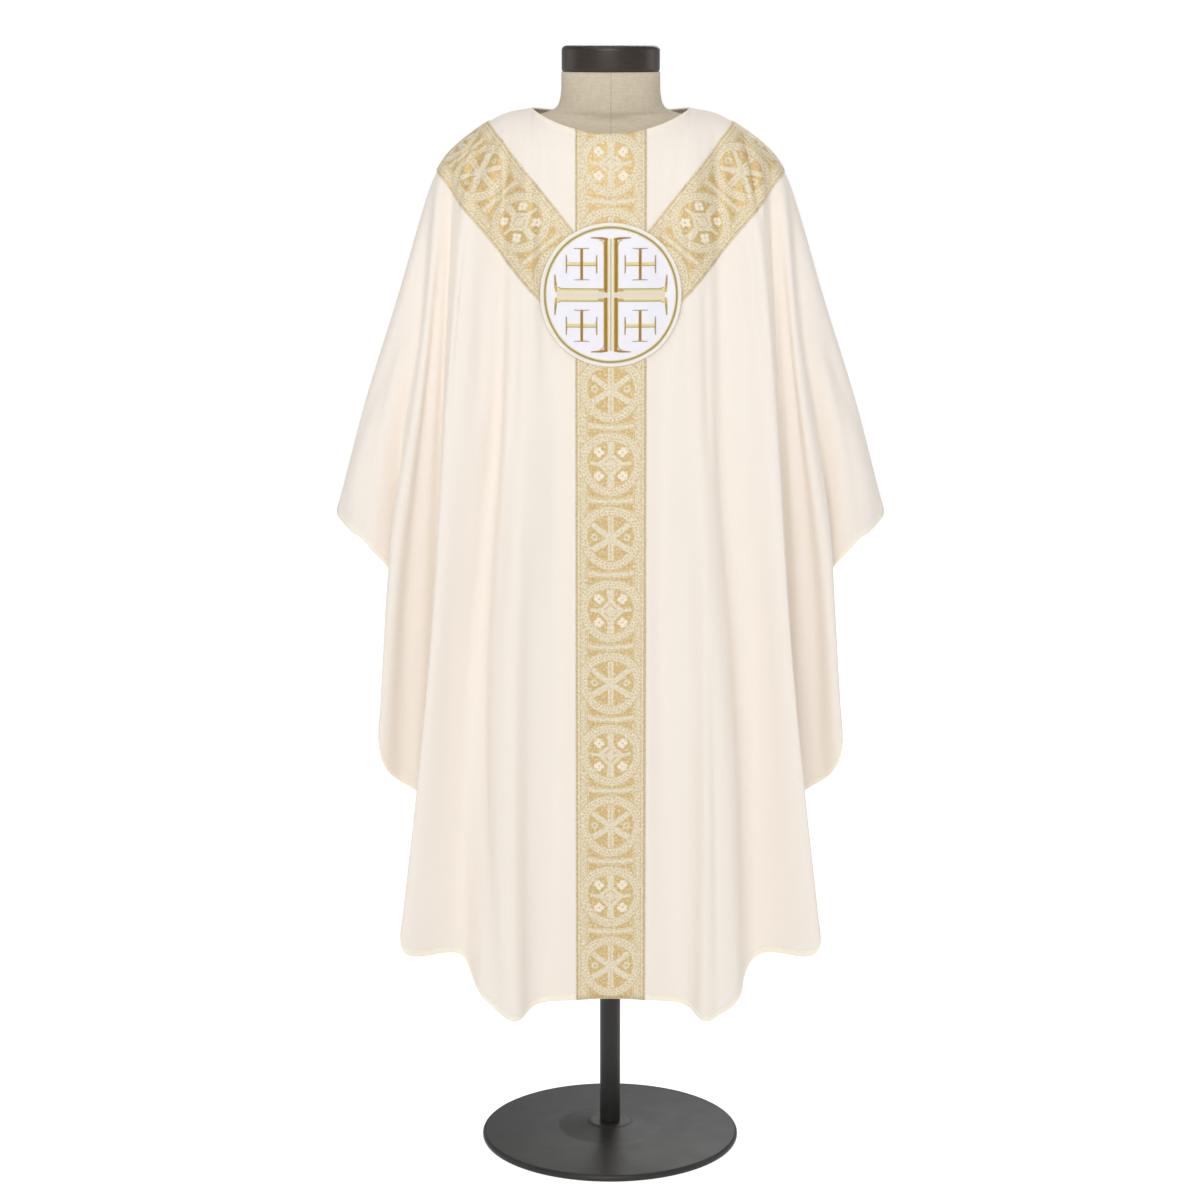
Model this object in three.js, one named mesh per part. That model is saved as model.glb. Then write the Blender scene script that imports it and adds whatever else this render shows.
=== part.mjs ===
// Semi-gothic chasuble with a Y-shaped orphrey and a roundel, hung on a dress form.
// Millimetres, +Z up. The front faces -Y, and the origin is under the middle of the stand's base.
import * as THREE from 'three';

// ---------- driving dimensions ----------
const NECK_HEIGHT = 1515;        // floor to the neck point, where neckline and shoulder seam meet
const NECK_HALF_WIDTH = 110;     // middle of the neckline to the neck point
const CLOTH = 1.5;               // wall of the front and back
const TRIM = 1.0;                // wall of the orphreys
const ROUNDEL_WALL = 1.4;
const SEAM_GAP = 0.3;            // between pieces at a seam, and under what lies on a panel
const ORPHREY_HALF = 49;         // half the width of the upright orphreys
const BAND_WIDTH = 99;           // slanting orphreys, seen from the front
const BAND_SLOPE = 50.5;         // their fall from the shoulder towards the middle, in degrees
const ROUNDEL_RADIUS = 98;       // with its corded rim
const ROUNDEL_DROP = 250;        // its middle, below the neck point
const ROUNDEL_GAP = 0.6;         // under the roundel, which spans the small bends of the orphrey
const RIM_WIDTH = 3.6;
const RIM_HEIGHT = 2.6;
const NECK_CAP_RADIUS = 68.5;
const NECK_CAP_HEIGHT = 36;
const POLE_RADIUS = 15;
const BASE_RADIUS = 190;
const BASE_HEIGHT = 22;

// Shoulder and arm line: half width against drop below the neck point.
const SEAM_LINE = [
  { x: 110, drop: 0 },
  { x: 150, drop: 9 },
  { x: 192, drop: 34 },
  { x: 228, drop: 65 },
  { x: 248, drop: 98 },
  { x: 264, drop: 143 },
  { x: 300, drop: 262 },
  { x: 349, drop: 414 },
  { x: 392, drop: 572 },
];

// One row for each ridge, valley or edge of a panel, from the middle to the sleeve corner.
// across: distance from the middle in the flat cloth
// head:   half width where the line leaves the neckline or the shoulder seam
// x, out: half width and depth from the seam's plane at a third, two thirds and the hem
// hem:    drop of the hem there
// steps: grid steps between neighbouring lines
const FRONT = {
  facing: -1,
  steps: [2, 2, 3, 2, 3, 4, 4, 4, 4, 3, 3, 2],
  neckDepth: 84,
  neckDrop: 33,
  neckLead: 58,
  folds: [
    { line: 'middle', across: 0, head: 0, x1: 0, out1: 128, x2: 0, out2: 142, x3: 0, out3: 150, hem: 1252 },
    { line: 'orphrey edge', across: 49, head: 49, x1: 49, out1: 128, x2: 49, out2: 143, x3: 49, out3: 151, hem: 1254 },
    { line: 'valley', across: 80, head: 74, x1: 74, out1: 122, x2: 76, out2: 134, x3: 98, out3: 143, hem: 1261 },
    { line: 'ridge', across: 140, head: 110, x1: 118, out1: 138, x2: 134, out2: 166, x3: 139, out3: 178, hem: 1277 },
    { line: 'ridge side', across: 182, head: 129, x1: 141, out1: 127, x2: 170, out2: 144, x3: 184, out3: 156, hem: 1250 },
    { line: 'valley', across: 225, head: 146, x1: 164, out1: 112, x2: 204, out2: 114, x3: 214, out3: 110, hem: 1200 },
    { line: 'ridge', across: 300, head: 188, x1: 226, out1: 132, x2: 258, out2: 146, x3: 298, out3: 152, hem: 1174 },
    { line: 'valley', across: 385, head: 216, x1: 234, out1: 84, x2: 248, out2: 70, x3: 264, out3: 58, hem: 1000 },
    { line: 'ridge', across: 470, head: 238, x1: 262, out1: 94, x2: 304, out2: 100, x3: 330, out3: 92, hem: 900 },
    { line: 'valley', across: 535, head: 252, x1: 268, out1: 58, x2: 296, out2: 52, x3: 302, out3: 44, hem: 690 },
    { line: 'sleeve front', across: 590, head: 284, x1: 302, out1: 52, x2: 327, out2: 60, x3: 343, out3: 58, hem: 612 },
    { line: 'sleeve side', across: 640, head: 338, x1: 352, out1: 32, x2: 364, out2: 44, x3: 370, out3: 42, hem: 592 },
    { line: 'corner', across: 675, head: 386, x1: 389, out1: 4, x2: 391, out2: 8, x3: 389, out3: 13, hem: 577 },
  ],
};
const BACK = {
  facing: 1,
  steps: [2, 2, 3, 4, 4, 4, 4, 4, 3, 3, 2],
  neckDepth: 74,
  neckDrop: 8,
  neckLead: 45,
  folds: [
    { line: 'middle', across: 0, head: 0, x1: 0, out1: 112, x2: 0, out2: 124, x3: 0, out3: 132, hem: 1262 },
    { line: 'orphrey edge', across: 49, head: 49, x1: 49, out1: 112, x2: 49, out2: 125, x3: 49, out3: 134, hem: 1263 },
    { line: 'valley', across: 84, head: 74, x1: 80, out1: 104, x2: 90, out2: 112, x3: 98, out3: 114, hem: 1262 },
    { line: 'ridge', across: 140, head: 110, x1: 132, out1: 120, x2: 142, out2: 142, x3: 152, out3: 158, hem: 1260 },
    { line: 'valley', across: 218, head: 150, x1: 174, out1: 98, x2: 190, out2: 98, x3: 198, out3: 96, hem: 1212 },
    { line: 'ridge', across: 292, head: 192, x1: 212, out1: 114, x2: 236, out2: 126, x3: 254, out3: 136, hem: 1176 },
    { line: 'valley', across: 372, head: 218, x1: 230, out1: 78, x2: 242, out2: 70, x3: 250, out3: 60, hem: 1010 },
    { line: 'ridge', across: 455, head: 240, x1: 256, out1: 88, x2: 288, out2: 96, x3: 306, out3: 92, hem: 905 },
    { line: 'valley', across: 525, head: 254, x1: 266, out1: 56, x2: 288, out2: 52, x3: 297, out3: 46, hem: 700 },
    { line: 'sleeve back', across: 585, head: 286, x1: 302, out1: 50, x2: 325, out2: 58, x3: 342, out3: 56, hem: 614 },
    { line: 'sleeve side', across: 640, head: 338, x1: 352, out1: 32, x2: 364, out2: 42, x3: 370, out3: 40, hem: 592 },
    { line: 'corner', across: 675, head: 386, x1: 389, out1: 4, x2: 391, out2: 8, x3: 389, out3: 13, hem: 577 },
  ],
};
const ROWS = 15;                 // grid steps from the top edge to the hem
const ROW_CROWDING = 1.25;       // above 1 the rows crowd towards the shoulder
const NECK_CURVE = 1.8;          // how late the neckline falls between the neck point and its middle
const NECK_REACH = 0.5;          // how much sooner the cloth turns down at the neckline's middle

// Level rings of the dress form: drop, half width x, half depth y, and thinness at the sides,
// where 0.5 is an ellipse and more is a slimmer shoulder.
const NECK_RINGS = [
  { drop: -50, x: 69, y: 55, thin: 0.5 },
  { drop: -22, x: 69.5, y: 55, thin: 0.5 },
  { drop: -4, x: 74, y: 54.5, thin: 0.55 },
  { drop: 4, x: 86, y: 54, thin: 0.75 },
  { drop: 9, x: 106, y: 52, thin: 1.05 },
];
const CREST_RINGS = 7;           // rings that follow the shoulder seam, just under the cloth
const CREST = {
  from: { x: 160, y: 51, thin: 1.25 },
  to: { x: 242, y: 80, thin: 0.7 },
};
const CREST_GAP = 0.75;          // form to cloth along the shoulder seam
const TORSO_RINGS = [
  { drop: 142, x: 238, y: 86, thin: 0.6 },
  { drop: 190, x: 220, y: 92, thin: 0.5 },
  { drop: 245, x: 192, y: 97, thin: 0.5 },
  { drop: 320, x: 174, y: 101, thin: 0.5 },
  { drop: 400, x: 160, y: 99, thin: 0.5 },
  { drop: 480, x: 152, y: 94, thin: 0.5 },
  { drop: 590, x: 158, y: 97, thin: 0.5 },
  { drop: 700, x: 166, y: 102, thin: 0.5 },
  { drop: 785, x: 166, y: 102, thin: 0.5 },
  { drop: 800, x: 155, y: 92, thin: 0.5 },
];
const RING_STEPS = 40;

// ---------- smooth lines ----------
function smooth(knots, rows, at, startSlope) {
  const last = knots.length - 1;
  let i = 0;
  while (i < last - 1 && at > knots[i + 1]) i++;
  const slope = (j) => {
    if (j === 0 && startSlope) return startSlope;
    const a = Math.max(j - 1, 0);
    const b = Math.min(j + 1, last);
    return rows[j].map((_, c) => (rows[b][c] - rows[a][c]) / (knots[b] - knots[a]));
  };
  const span = knots[i + 1] - knots[i];
  const t = (at - knots[i]) / span;
  const [from, to] = [slope(i), slope(i + 1)];
  const t2 = t * t;
  const t3 = t2 * t;
  return rows[i].map((v, c) =>
    v * (2 * t3 - 3 * t2 + 1) + rows[i + 1][c] * (3 * t2 - 2 * t3)
    + span * (from[c] * (t3 - 2 * t2 + t) + to[c] * (t3 - t2)));
}

function seamDrop(x) {
  return smooth(SEAM_LINE.map((p) => p.x), SEAM_LINE.map((p) => [p.drop]), x)[0];
}

// Point of the top edge at a half width, as [x, y, drop], how steeply the cloth leaves it,
// and how far it runs that way, as a share of its depth at the chest.
function head(panel, x) {
  if (x > NECK_HALF_WIDTH) {
    return { point: [x, panel.facing * SEAM_GAP / 2, seamDrop(x)], lead: 0, reach: 1 };
  }
  const turn = Math.asin(x / NECK_HALF_WIDTH);
  const depth = SEAM_GAP / 2 + panel.neckDepth * Math.cos(turn);
  return {
    point: [x, panel.facing * depth, panel.neckDrop * Math.cos(turn) ** NECK_CURVE],
    lead: THREE.MathUtils.degToRad(panel.neckLead) * Math.cos(turn),
    reach: 1 - NECK_REACH * Math.cos(turn),
  };
}

// The line of the cloth at a distance from the middle, between the rows of the panel's table.
function lineAt(panel, across) {
  const half = panel.folds.map((f) => [f.head, f.x1, f.x2, f.x3, f.out1, f.out2, f.out3, f.hem]);
  const mirrored = [2, 1].map((i) => half[i].map((v, c) => (c < 4 ? -v : v)));
  const knots = [2, 1].map((i) => -panel.folds[i].across).concat(panel.folds.map((f) => f.across));
  const [top, x1, x2, x3, out1, out2, out3, hem] = smooth(knots, mirrored.concat(half), across);
  return { top: Math.max(top, 0), x1, x2, x3, out1, out2, out3, hem };
}

// A point of the panel's middle surface: across the cloth, and t from the top edge to the hem.
function panelPoint(panel, across, t) {
  const line = lineAt(panel, Math.abs(across));
  const { point, lead, reach } = head(panel, line.top);
  const drop = (share) => point[2] + share * (line.hem - point[2]);
  const rows = [
    point,
    [line.x1, panel.facing * line.out1, drop(1 / 3)],
    [line.x2, panel.facing * line.out2, drop(2 / 3)],
    [line.x3, panel.facing * line.out3, line.hem],
  ];
  const pull = 9 * reach * line.out1;
  const slope = [0, panel.facing * pull * Math.cos(lead), pull * Math.sin(lead)];
  const [x, y, fall] = smooth([0, 1 / 3, 2 / 3, 1], rows, t, slope);
  return new THREE.Vector3(across < 0 ? -x : x, y, NECK_HEIGHT - fall);
}

// ---------- sheets of cloth ----------
// A sheet is { points, normals, faces }: its middle surface, seen from outside.
function panelSheet(panel) {
  const half = [0];
  panel.folds.slice(1).forEach((fold, i) => {
    const before = panel.folds[i].across;
    const steps = panel.steps[i];
    for (let s = 1; s <= steps; s++) half.push(before + (fold.across - before) * s / steps);
  });
  const columns = half.slice(1).reverse().map((a) => -a).concat(half);
  const sheet = { points: [], normals: [], faces: [] };
  for (const across of columns) {
    for (let r = 0; r <= ROWS; r++) {
      sheet.points.push(panelPoint(panel, across, (r / ROWS) ** ROW_CROWDING));
    }
  }
  const at = (c, r) => c * (ROWS + 1) + r;
  for (let c = 0; c < columns.length - 1; c++) {
    for (let r = 0; r < ROWS; r++) {
      const quad = [at(c, r), at(c, r + 1), at(c + 1, r + 1), at(c + 1, r)];
      if (panel.facing > 0) quad.reverse();
      const leansLeft = columns[c] < 0;
      const [a, b, d, e] = leansLeft ? quad : [quad[1], quad[2], quad[3], quad[0]];
      sheet.faces.push([a, b, d], [a, d, e]);
    }
  }
  addNormals(sheet);
  columns.forEach((across, c) => {
    const [x, y] = sheet.points[at(c, 0)].toArray();
    const onSeam = Math.abs(x) >= NECK_HALF_WIDTH - 1 && Math.abs(y) < SEAM_GAP;
    if (onSeam) sheet.normals[at(c, 0)].setY(0).normalize();
  });
  return sheet;
}

function addNormals(sheet) {
  sheet.normals = sheet.points.map(() => new THREE.Vector3());
  for (const [a, b, c] of sheet.faces) {
    const p = sheet.points[a];
    const ab = sheet.points[b].clone().sub(p);
    const ac = sheet.points[c].clone().sub(p);
    const area = ab.cross(ac);
    [a, b, c].forEach((i) => sheet.normals[i].add(area));
  }
  sheet.normals.forEach((n) => n.normalize());
}

// Keeps the part of a sheet where a*x + b*z <= limit for every edge { a, b, limit }.
function clipSheet(sheet, edges) {
  const points = sheet.points.map((p) => p.clone());
  const normals = sheet.normals.map((n) => n.clone());
  let faces = sheet.faces;
  for (const { a, b, limit } of edges) {
    const side = points.map((p) => {
      const value = a * p.x + b * p.z - limit;
      return Math.abs(value) < 0.05 ? 0 : value;
    });
    const cuts = new Map();
    const cut = (i, j) => {
      const [low, high] = i < j ? [i, j] : [j, i];
      const key = `${low} ${high}`;
      if (!cuts.has(key)) {
        const share = side[low] / (side[low] - side[high]);
        cuts.set(key, points.length);
        points.push(points[low].clone().lerp(points[high], share));
        normals.push(normals[low].clone().lerp(normals[high], share).normalize());
      }
      return cuts.get(key);
    };
    faces = faces.map((face) => face.flatMap((i, n) => {
      const j = face[(n + 1) % face.length];
      const kept = side[i] <= 0 ? [i] : [];
      return side[i] * side[j] < 0 ? kept.concat(cut(i, j)) : kept;
    })).filter((face) => face.length > 2 && face.some((i) => (side[i] ?? 0) < 0));
  }
  return compact({ points, normals, faces: faces.flatMap((face) => fan(face, points)) });
}

// Splits a flat face into triangles from the corner that keeps the thinnest of them fattest.
function fan(face, points) {
  const size = face.length;
  const fans = face.map((apex, n) => {
    const triangles = [];
    for (let s = 1; s < size - 1; s++) triangles.push([apex, face[(n + s) % size], face[(n + s + 1) % size]]);
    const areas = triangles.map((t) => new THREE.Triangle(...t.map((i) => points[i])).getArea());
    return { triangles, least: Math.min(...areas) };
  });
  return fans.reduce((best, one) => (one.least > best.least ? one : best)).triangles;
}

function compact({ points, normals, faces }) {
  const used = [...new Set(faces.flat())];
  const place = new Map(used.map((old, now) => [old, now]));
  return {
    points: used.map((i) => points[i]),
    normals: used.map((i) => normals[i]),
    faces: faces.map((face) => face.map((i) => place.get(i))),
  };
}

// Closed wall between two distances outside a sheet's middle surface.
function thicken(sheet, low, high) {
  const count = sheet.points.length;
  const lift = (distance) => sheet.points.map((p, i) => p.clone().addScaledVector(sheet.normals[i], distance));
  const points = lift(high).concat(lift(low));
  const faces = sheet.faces.map((face) => [...face]);
  const edges = new Map();
  for (const [a, b, c] of sheet.faces) {
    faces.push([c + count, b + count, a + count]);
    for (const [i, j] of [[a, b], [b, c], [c, a]]) {
      if (!edges.delete(`${j} ${i}`)) edges.set(`${i} ${j}`, [i, j]);
    }
  }
  for (const [i, j] of edges.values()) {
    faces.push([j, i, i + count], [j, i + count, j + count]);
  }
  return toGeometry(points, faces);
}

function toGeometry(points, faces) {
  const geometry = new THREE.BufferGeometry();
  geometry.setAttribute('position', new THREE.Float32BufferAttribute(points.flatMap((p) => p.toArray()), 3));
  geometry.setIndex(faces.flat());
  geometry.computeVertexNormals();
  return geometry;
}

// Where the line through (x, z) along Y meets a sheet, and the sheet's normal there.
function onSheet(sheet, x, z) {
  for (const face of sheet.faces) {
    const flat = face.map((i) => new THREE.Vector3(sheet.points[i].x, sheet.points[i].z, 0));
    const weights = THREE.Triangle.getBarycoord(new THREE.Vector3(x, z, 0), ...flat, new THREE.Vector3());
    if (!weights || Math.min(...weights.toArray()) < -1e-6) continue;
    const blend = (rows) => face.reduce(
      (sum, i, n) => sum.addScaledVector(rows[i], weights.getComponent(n)), new THREE.Vector3());
    return { point: blend(sheet.points), normal: blend(sheet.normals).normalize() };
  }
  throw new Error(`no cloth at ${x}, ${z}`);
}

// ---------- trims on a panel ----------
const OVER_CLOTH = CLOTH / 2 + SEAM_GAP;
const OVER_TRIM = OVER_CLOTH + TRIM + ROUNDEL_GAP;

function uprightOrphrey(sheet) {
  const sides = [{ a: 1, b: 0, limit: ORPHREY_HALF }, { a: -1, b: 0, limit: ORPHREY_HALF }];
  return thicken(clipSheet(sheet, sides), OVER_CLOTH, OVER_CLOTH + TRIM);
}

// A slanting orphrey on one side, from the upright one to the shoulder seam.
function slantingOrphrey(sheet, sign) {
  const slope = THREE.MathUtils.degToRad(BAND_SLOPE);
  const middle = { x: 210, z: NECK_HEIGHT - seamDrop(210) };
  const normal = { a: sign * Math.sin(slope), b: -Math.cos(slope) };
  const level = Math.sin(slope) * middle.x - Math.cos(slope) * middle.z;
  const edges = [
    { ...normal, limit: level + BAND_WIDTH / 2 },
    { a: -normal.a, b: -normal.b, limit: BAND_WIDTH / 2 - level },
    { a: -sign, b: 0, limit: -ORPHREY_HALF - SEAM_GAP },
  ];
  return thicken(clipSheet(sheet, edges), OVER_CLOTH, OVER_CLOTH + TRIM);
}

const ROUNDEL_HEIGHT = NECK_HEIGHT - ROUNDEL_DROP;
const ROUNDEL_STEPS = 48;

function roundelDisc(sheet) {
  const radius = ROUNDEL_RADIUS - RIM_WIDTH - SEAM_GAP;
  const edges = [];
  for (let s = 0; s < ROUNDEL_STEPS; s++) {
    const turn = 2 * Math.PI * (s + 0.5) / ROUNDEL_STEPS;
    const [a, b] = [Math.cos(turn), Math.sin(turn)];
    edges.push({ a, b, limit: radius * Math.cos(Math.PI / ROUNDEL_STEPS) + b * ROUNDEL_HEIGHT });
  }
  return thicken(clipSheet(sheet, edges), OVER_TRIM, OVER_TRIM + ROUNDEL_WALL);
}

function roundelRim(sheet) {
  const section = [
    { across: 0, up: 0 },
    { across: 1, up: 0 },
    { across: 1, up: 0.6 },
    { across: 0.5, up: 1 },
    { across: 0, up: 0.6 },
  ];
  const points = [];
  const faces = [];
  const size = section.length;
  for (let s = 0; s < ROUNDEL_STEPS; s++) {
    const turn = 2 * Math.PI * s / ROUNDEL_STEPS;
    for (const { across, up } of section) {
      const radius = ROUNDEL_RADIUS - RIM_WIDTH + RIM_WIDTH * across;
      const { point, normal } = onSheet(sheet, radius * Math.cos(turn), ROUNDEL_HEIGHT + radius * Math.sin(turn));
      points.push(point.addScaledVector(normal, OVER_TRIM + up * RIM_HEIGHT));
    }
    const next = (s + 1) % ROUNDEL_STEPS;
    for (let k = 0; k < size; k++) {
      const l = (k + 1) % size;
      const [a, b, c, d] = [s * size + k, s * size + l, next * size + l, next * size + k];
      faces.push([a, d, c], [a, c, b]);
    }
  }
  return toGeometry(points, faces);
}

// ---------- dress form ----------
function crestRings() {
  const below = CLOTH / 2 + CREST_GAP;
  const rings = [];
  for (let i = 0; i < CREST_RINGS; i++) {
    const share = i / (CREST_RINGS - 1);
    const between = (key) => THREE.MathUtils.lerp(CREST.from[key], CREST.to[key], share);
    const x = between('x');
    const fall = Math.atan(seamDrop(x + 0.5) - seamDrop(x - 0.5));
    rings.push({
      drop: seamDrop(x) + below * Math.cos(fall),
      x: x - below * Math.sin(fall),
      y: between('y'),
      thin: between('thin'),
    });
  }
  return rings;
}

function torso() {
  const rings = [...NECK_RINGS, ...crestRings(), ...TORSO_RINGS];
  const points = [];
  const faces = [];
  rings.forEach(({ drop, x, y, thin }) => {
    for (let s = 0; s < RING_STEPS; s++) {
      const turn = 2 * Math.PI * s / RING_STEPS;
      const depth = Math.sign(Math.sin(turn)) * Math.abs(Math.sin(turn)) ** (2 * thin);
      points.push(new THREE.Vector3(x * Math.cos(turn), y * depth, NECK_HEIGHT - drop));
    }
  });
  for (let r = 0; r < rings.length - 1; r++) {
    for (let s = 0; s < RING_STEPS; s++) {
      const next = (s + 1) % RING_STEPS;
      const [a, b] = [r * RING_STEPS + s, r * RING_STEPS + next];
      faces.push([a, a + RING_STEPS, b + RING_STEPS], [a, b + RING_STEPS, b]);
    }
  }
  const bottom = (rings.length - 1) * RING_STEPS;
  for (let s = 1; s < RING_STEPS - 1; s++) {
    faces.push([0, s, s + 1], [bottom, bottom + s + 1, bottom + s]);
  }
  return toGeometry(points, faces);
}

function lathe(profile, steps) {
  const geometry = new THREE.LatheGeometry(profile.map(([r, z]) => new THREE.Vector2(r, z)), steps);
  return geometry.rotateX(Math.PI / 2);
}

function neckCap() {
  const r = NECK_CAP_RADIUS;
  const h = NECK_CAP_HEIGHT;
  const bottom = NECK_HEIGHT - NECK_RINGS[0].drop + SEAM_GAP;
  const geometry = lathe([[0, 0], [r - 1.5, 0], [r, 1.5], [r, h - 5], [r - 1.5, h - 2], [r - 5, h], [0, h]], 48);
  return geometry.scale(1, NECK_RINGS[0].y / NECK_RINGS[0].x, 1).translate(0, 0, bottom);
}

const TORSO_BOTTOM = NECK_HEIGHT - TORSO_RINGS[TORSO_RINGS.length - 1].drop;

function pole() {
  const bottom = BASE_HEIGHT + SEAM_GAP;
  const length = TORSO_BOTTOM - SEAM_GAP - bottom;
  return lathe([[0, 0], [POLE_RADIUS, 0], [POLE_RADIUS, length], [0, length]], 24).translate(0, 0, bottom);
}

function base() {
  const r = BASE_RADIUS;
  const h = BASE_HEIGHT;
  return lathe([[0, 0], [r - 2, 0], [r, 2], [r, 6], [r - 3, 9], [r * 0.4, 13], [34, h - 2], [30, h], [0, h]], 60);
}

// ---------- the whole object ----------
const cloth = { color: '#f6eee0', roughness: 0.85, metalness: 0 };
const brocade = { color: '#dcc68c', roughness: 0.5, metalness: 0.25 };
const satin = { color: '#f4f3f5', roughness: 0.6, metalness: 0 };
const cord = { color: '#f3ecd9', roughness: 0.7, metalness: 0 };
const linen = { color: '#cdc0ac', roughness: 0.95, metalness: 0 };
const stainedWood = { color: '#3a2f29', roughness: 0.4, metalness: 0 };
const blackSteel = { color: '#26241f', roughness: 0.45, metalness: 0.6 };

const chasuble = new THREE.Group();

function add(name, geometry, finish) {
  const mesh = new THREE.Mesh(geometry, new THREE.MeshStandardMaterial(finish));
  mesh.name = name;
  chasuble.add(mesh);
}

const frontSheet = panelSheet(FRONT);
const backSheet = panelSheet(BACK);

add('front', thicken(frontSheet, -CLOTH / 2, CLOTH / 2), cloth);
add('back', thicken(backSheet, -CLOTH / 2, CLOTH / 2), cloth);
for (const [side, sheet] of [['front', frontSheet], ['back', backSheet]]) {
  add(`orphrey_${side}`, uprightOrphrey(sheet), brocade);
  add(`orphrey_${side}_left`, slantingOrphrey(sheet, 1), brocade);
  add(`orphrey_${side}_right`, slantingOrphrey(sheet, -1), brocade);
}
add('roundel', roundelDisc(frontSheet), satin);
add('roundel_rim', roundelRim(frontSheet), cord);
add('form_torso', torso(), linen);
add('form_neck_cap', neckCap(), stainedWood);
add('form_pole', pole(), blackSteel);
add('form_base', base(), blackSteel);

export default chasuble;
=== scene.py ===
"""Semi-gothic chasuble worn by a dress form: cloth, orphreys, embroidered roundel, stand, light and camera.

Tables and shapes are in millimetres, and meshes are written in metres.
"""

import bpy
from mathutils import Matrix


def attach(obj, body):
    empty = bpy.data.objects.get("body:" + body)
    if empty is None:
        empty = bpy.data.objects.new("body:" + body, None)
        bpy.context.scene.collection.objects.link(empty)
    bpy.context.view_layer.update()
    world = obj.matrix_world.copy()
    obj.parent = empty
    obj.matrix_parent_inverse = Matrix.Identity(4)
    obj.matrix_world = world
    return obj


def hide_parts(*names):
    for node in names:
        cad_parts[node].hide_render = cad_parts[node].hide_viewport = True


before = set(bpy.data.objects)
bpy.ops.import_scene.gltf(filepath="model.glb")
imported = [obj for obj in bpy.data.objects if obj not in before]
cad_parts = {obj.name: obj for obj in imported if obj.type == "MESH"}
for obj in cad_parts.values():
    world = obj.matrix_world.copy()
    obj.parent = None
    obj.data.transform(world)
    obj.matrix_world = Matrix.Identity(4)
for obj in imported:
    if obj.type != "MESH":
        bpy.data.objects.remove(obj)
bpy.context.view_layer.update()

import ast
import math

import bmesh
import bpy
import numpy as np
from mathutils import Vector
from mathutils.bvhtree import BVHTree

MM = 0.001

# ---------- sizes shared with the solids ----------
NECK_HEIGHT = 1515
NECK_HALF_WIDTH = 110
CLOTH = 1.5
TRIM = 1.0
ROUNDEL_WALL = 1.4
SEAM_GAP = 0.3
ORPHREY_HALF = 49
BAND_WIDTH = 99
BAND_SLOPE = 50.5
ROUNDEL_RADIUS = 98
ROUNDEL_DROP = 250
ROUNDEL_GAP = 0.6
RIM_WIDTH = 3.6
RIM_HEIGHT = 2.6
NECK_CAP_RADIUS = 68.5
NECK_CAP_HEIGHT = 36
POLE_RADIUS = 15
BASE_RADIUS = 190
BASE_HEIGHT = 22
OVER_CLOTH = CLOTH / 2 + SEAM_GAP
OVER_TRIM = OVER_CLOTH + TRIM + ROUNDEL_GAP
NECK_CURVE = 1.8                 # how late the neckline falls between the neck point and its middle
NECK_REACH = 0.5                 # how much sooner the cloth turns down at the neckline's middle
TURN_DOWN = 9                    # how fast the cloth leaves the top edge, against its depth at the chest

# Shoulder and arm line: half width, drop below the neck point
SEAM_LINE = [
    (110, 0), (150, 9), (192, 34), (228, 65), (248, 98), (264, 143), (300, 262), (349, 414), (392, 572),
]

# One row for each ridge, valley or edge, from the middle to the sleeve corner:
# across, head, x1, x2, x3, out1, out2, out3, hem
FRONT = {
    "facing": -1, "neck_depth": 84, "neck_drop": 33, "neck_lead": 58,
    "folds": [
        (0, 0, 0, 0, 0, 128, 142, 150, 1252),
        (49, 49, 49, 49, 49, 128, 143, 151, 1254),
        (80, 74, 74, 76, 98, 122, 134, 143, 1261),
        (140, 110, 118, 134, 139, 138, 166, 178, 1277),
        (182, 129, 141, 170, 184, 127, 144, 156, 1250),
        (225, 146, 164, 204, 214, 112, 114, 110, 1200),
        (300, 188, 226, 258, 298, 132, 146, 152, 1174),
        (385, 216, 234, 248, 264, 84, 70, 58, 1000),
        (470, 238, 262, 304, 330, 94, 100, 92, 900),
        (535, 252, 268, 296, 302, 58, 52, 44, 690),
        (590, 284, 302, 327, 343, 52, 60, 58, 612),
        (640, 338, 352, 364, 370, 32, 44, 42, 592),
        (675, 386, 389, 391, 389, 4, 8, 13, 577),
    ],
}
BACK = {
    "facing": 1, "neck_depth": 74, "neck_drop": 8, "neck_lead": 45,
    "folds": [
        (0, 0, 0, 0, 0, 112, 124, 132, 1262),
        (49, 49, 49, 49, 49, 112, 125, 134, 1263),
        (84, 74, 80, 90, 98, 104, 112, 114, 1262),
        (140, 110, 132, 142, 152, 120, 142, 158, 1260),
        (218, 150, 174, 190, 198, 98, 98, 96, 1212),
        (292, 192, 212, 236, 254, 114, 126, 136, 1176),
        (372, 218, 230, 242, 250, 78, 70, 60, 1010),
        (455, 240, 256, 288, 306, 88, 96, 92, 905),
        (525, 254, 266, 288, 297, 56, 52, 46, 700),
        (585, 286, 302, 325, 342, 50, 58, 56, 614),
        (640, 338, 352, 364, 370, 32, 42, 40, 592),
        (675, 386, 389, 391, 389, 4, 8, 13, 577),
    ],
}

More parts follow.
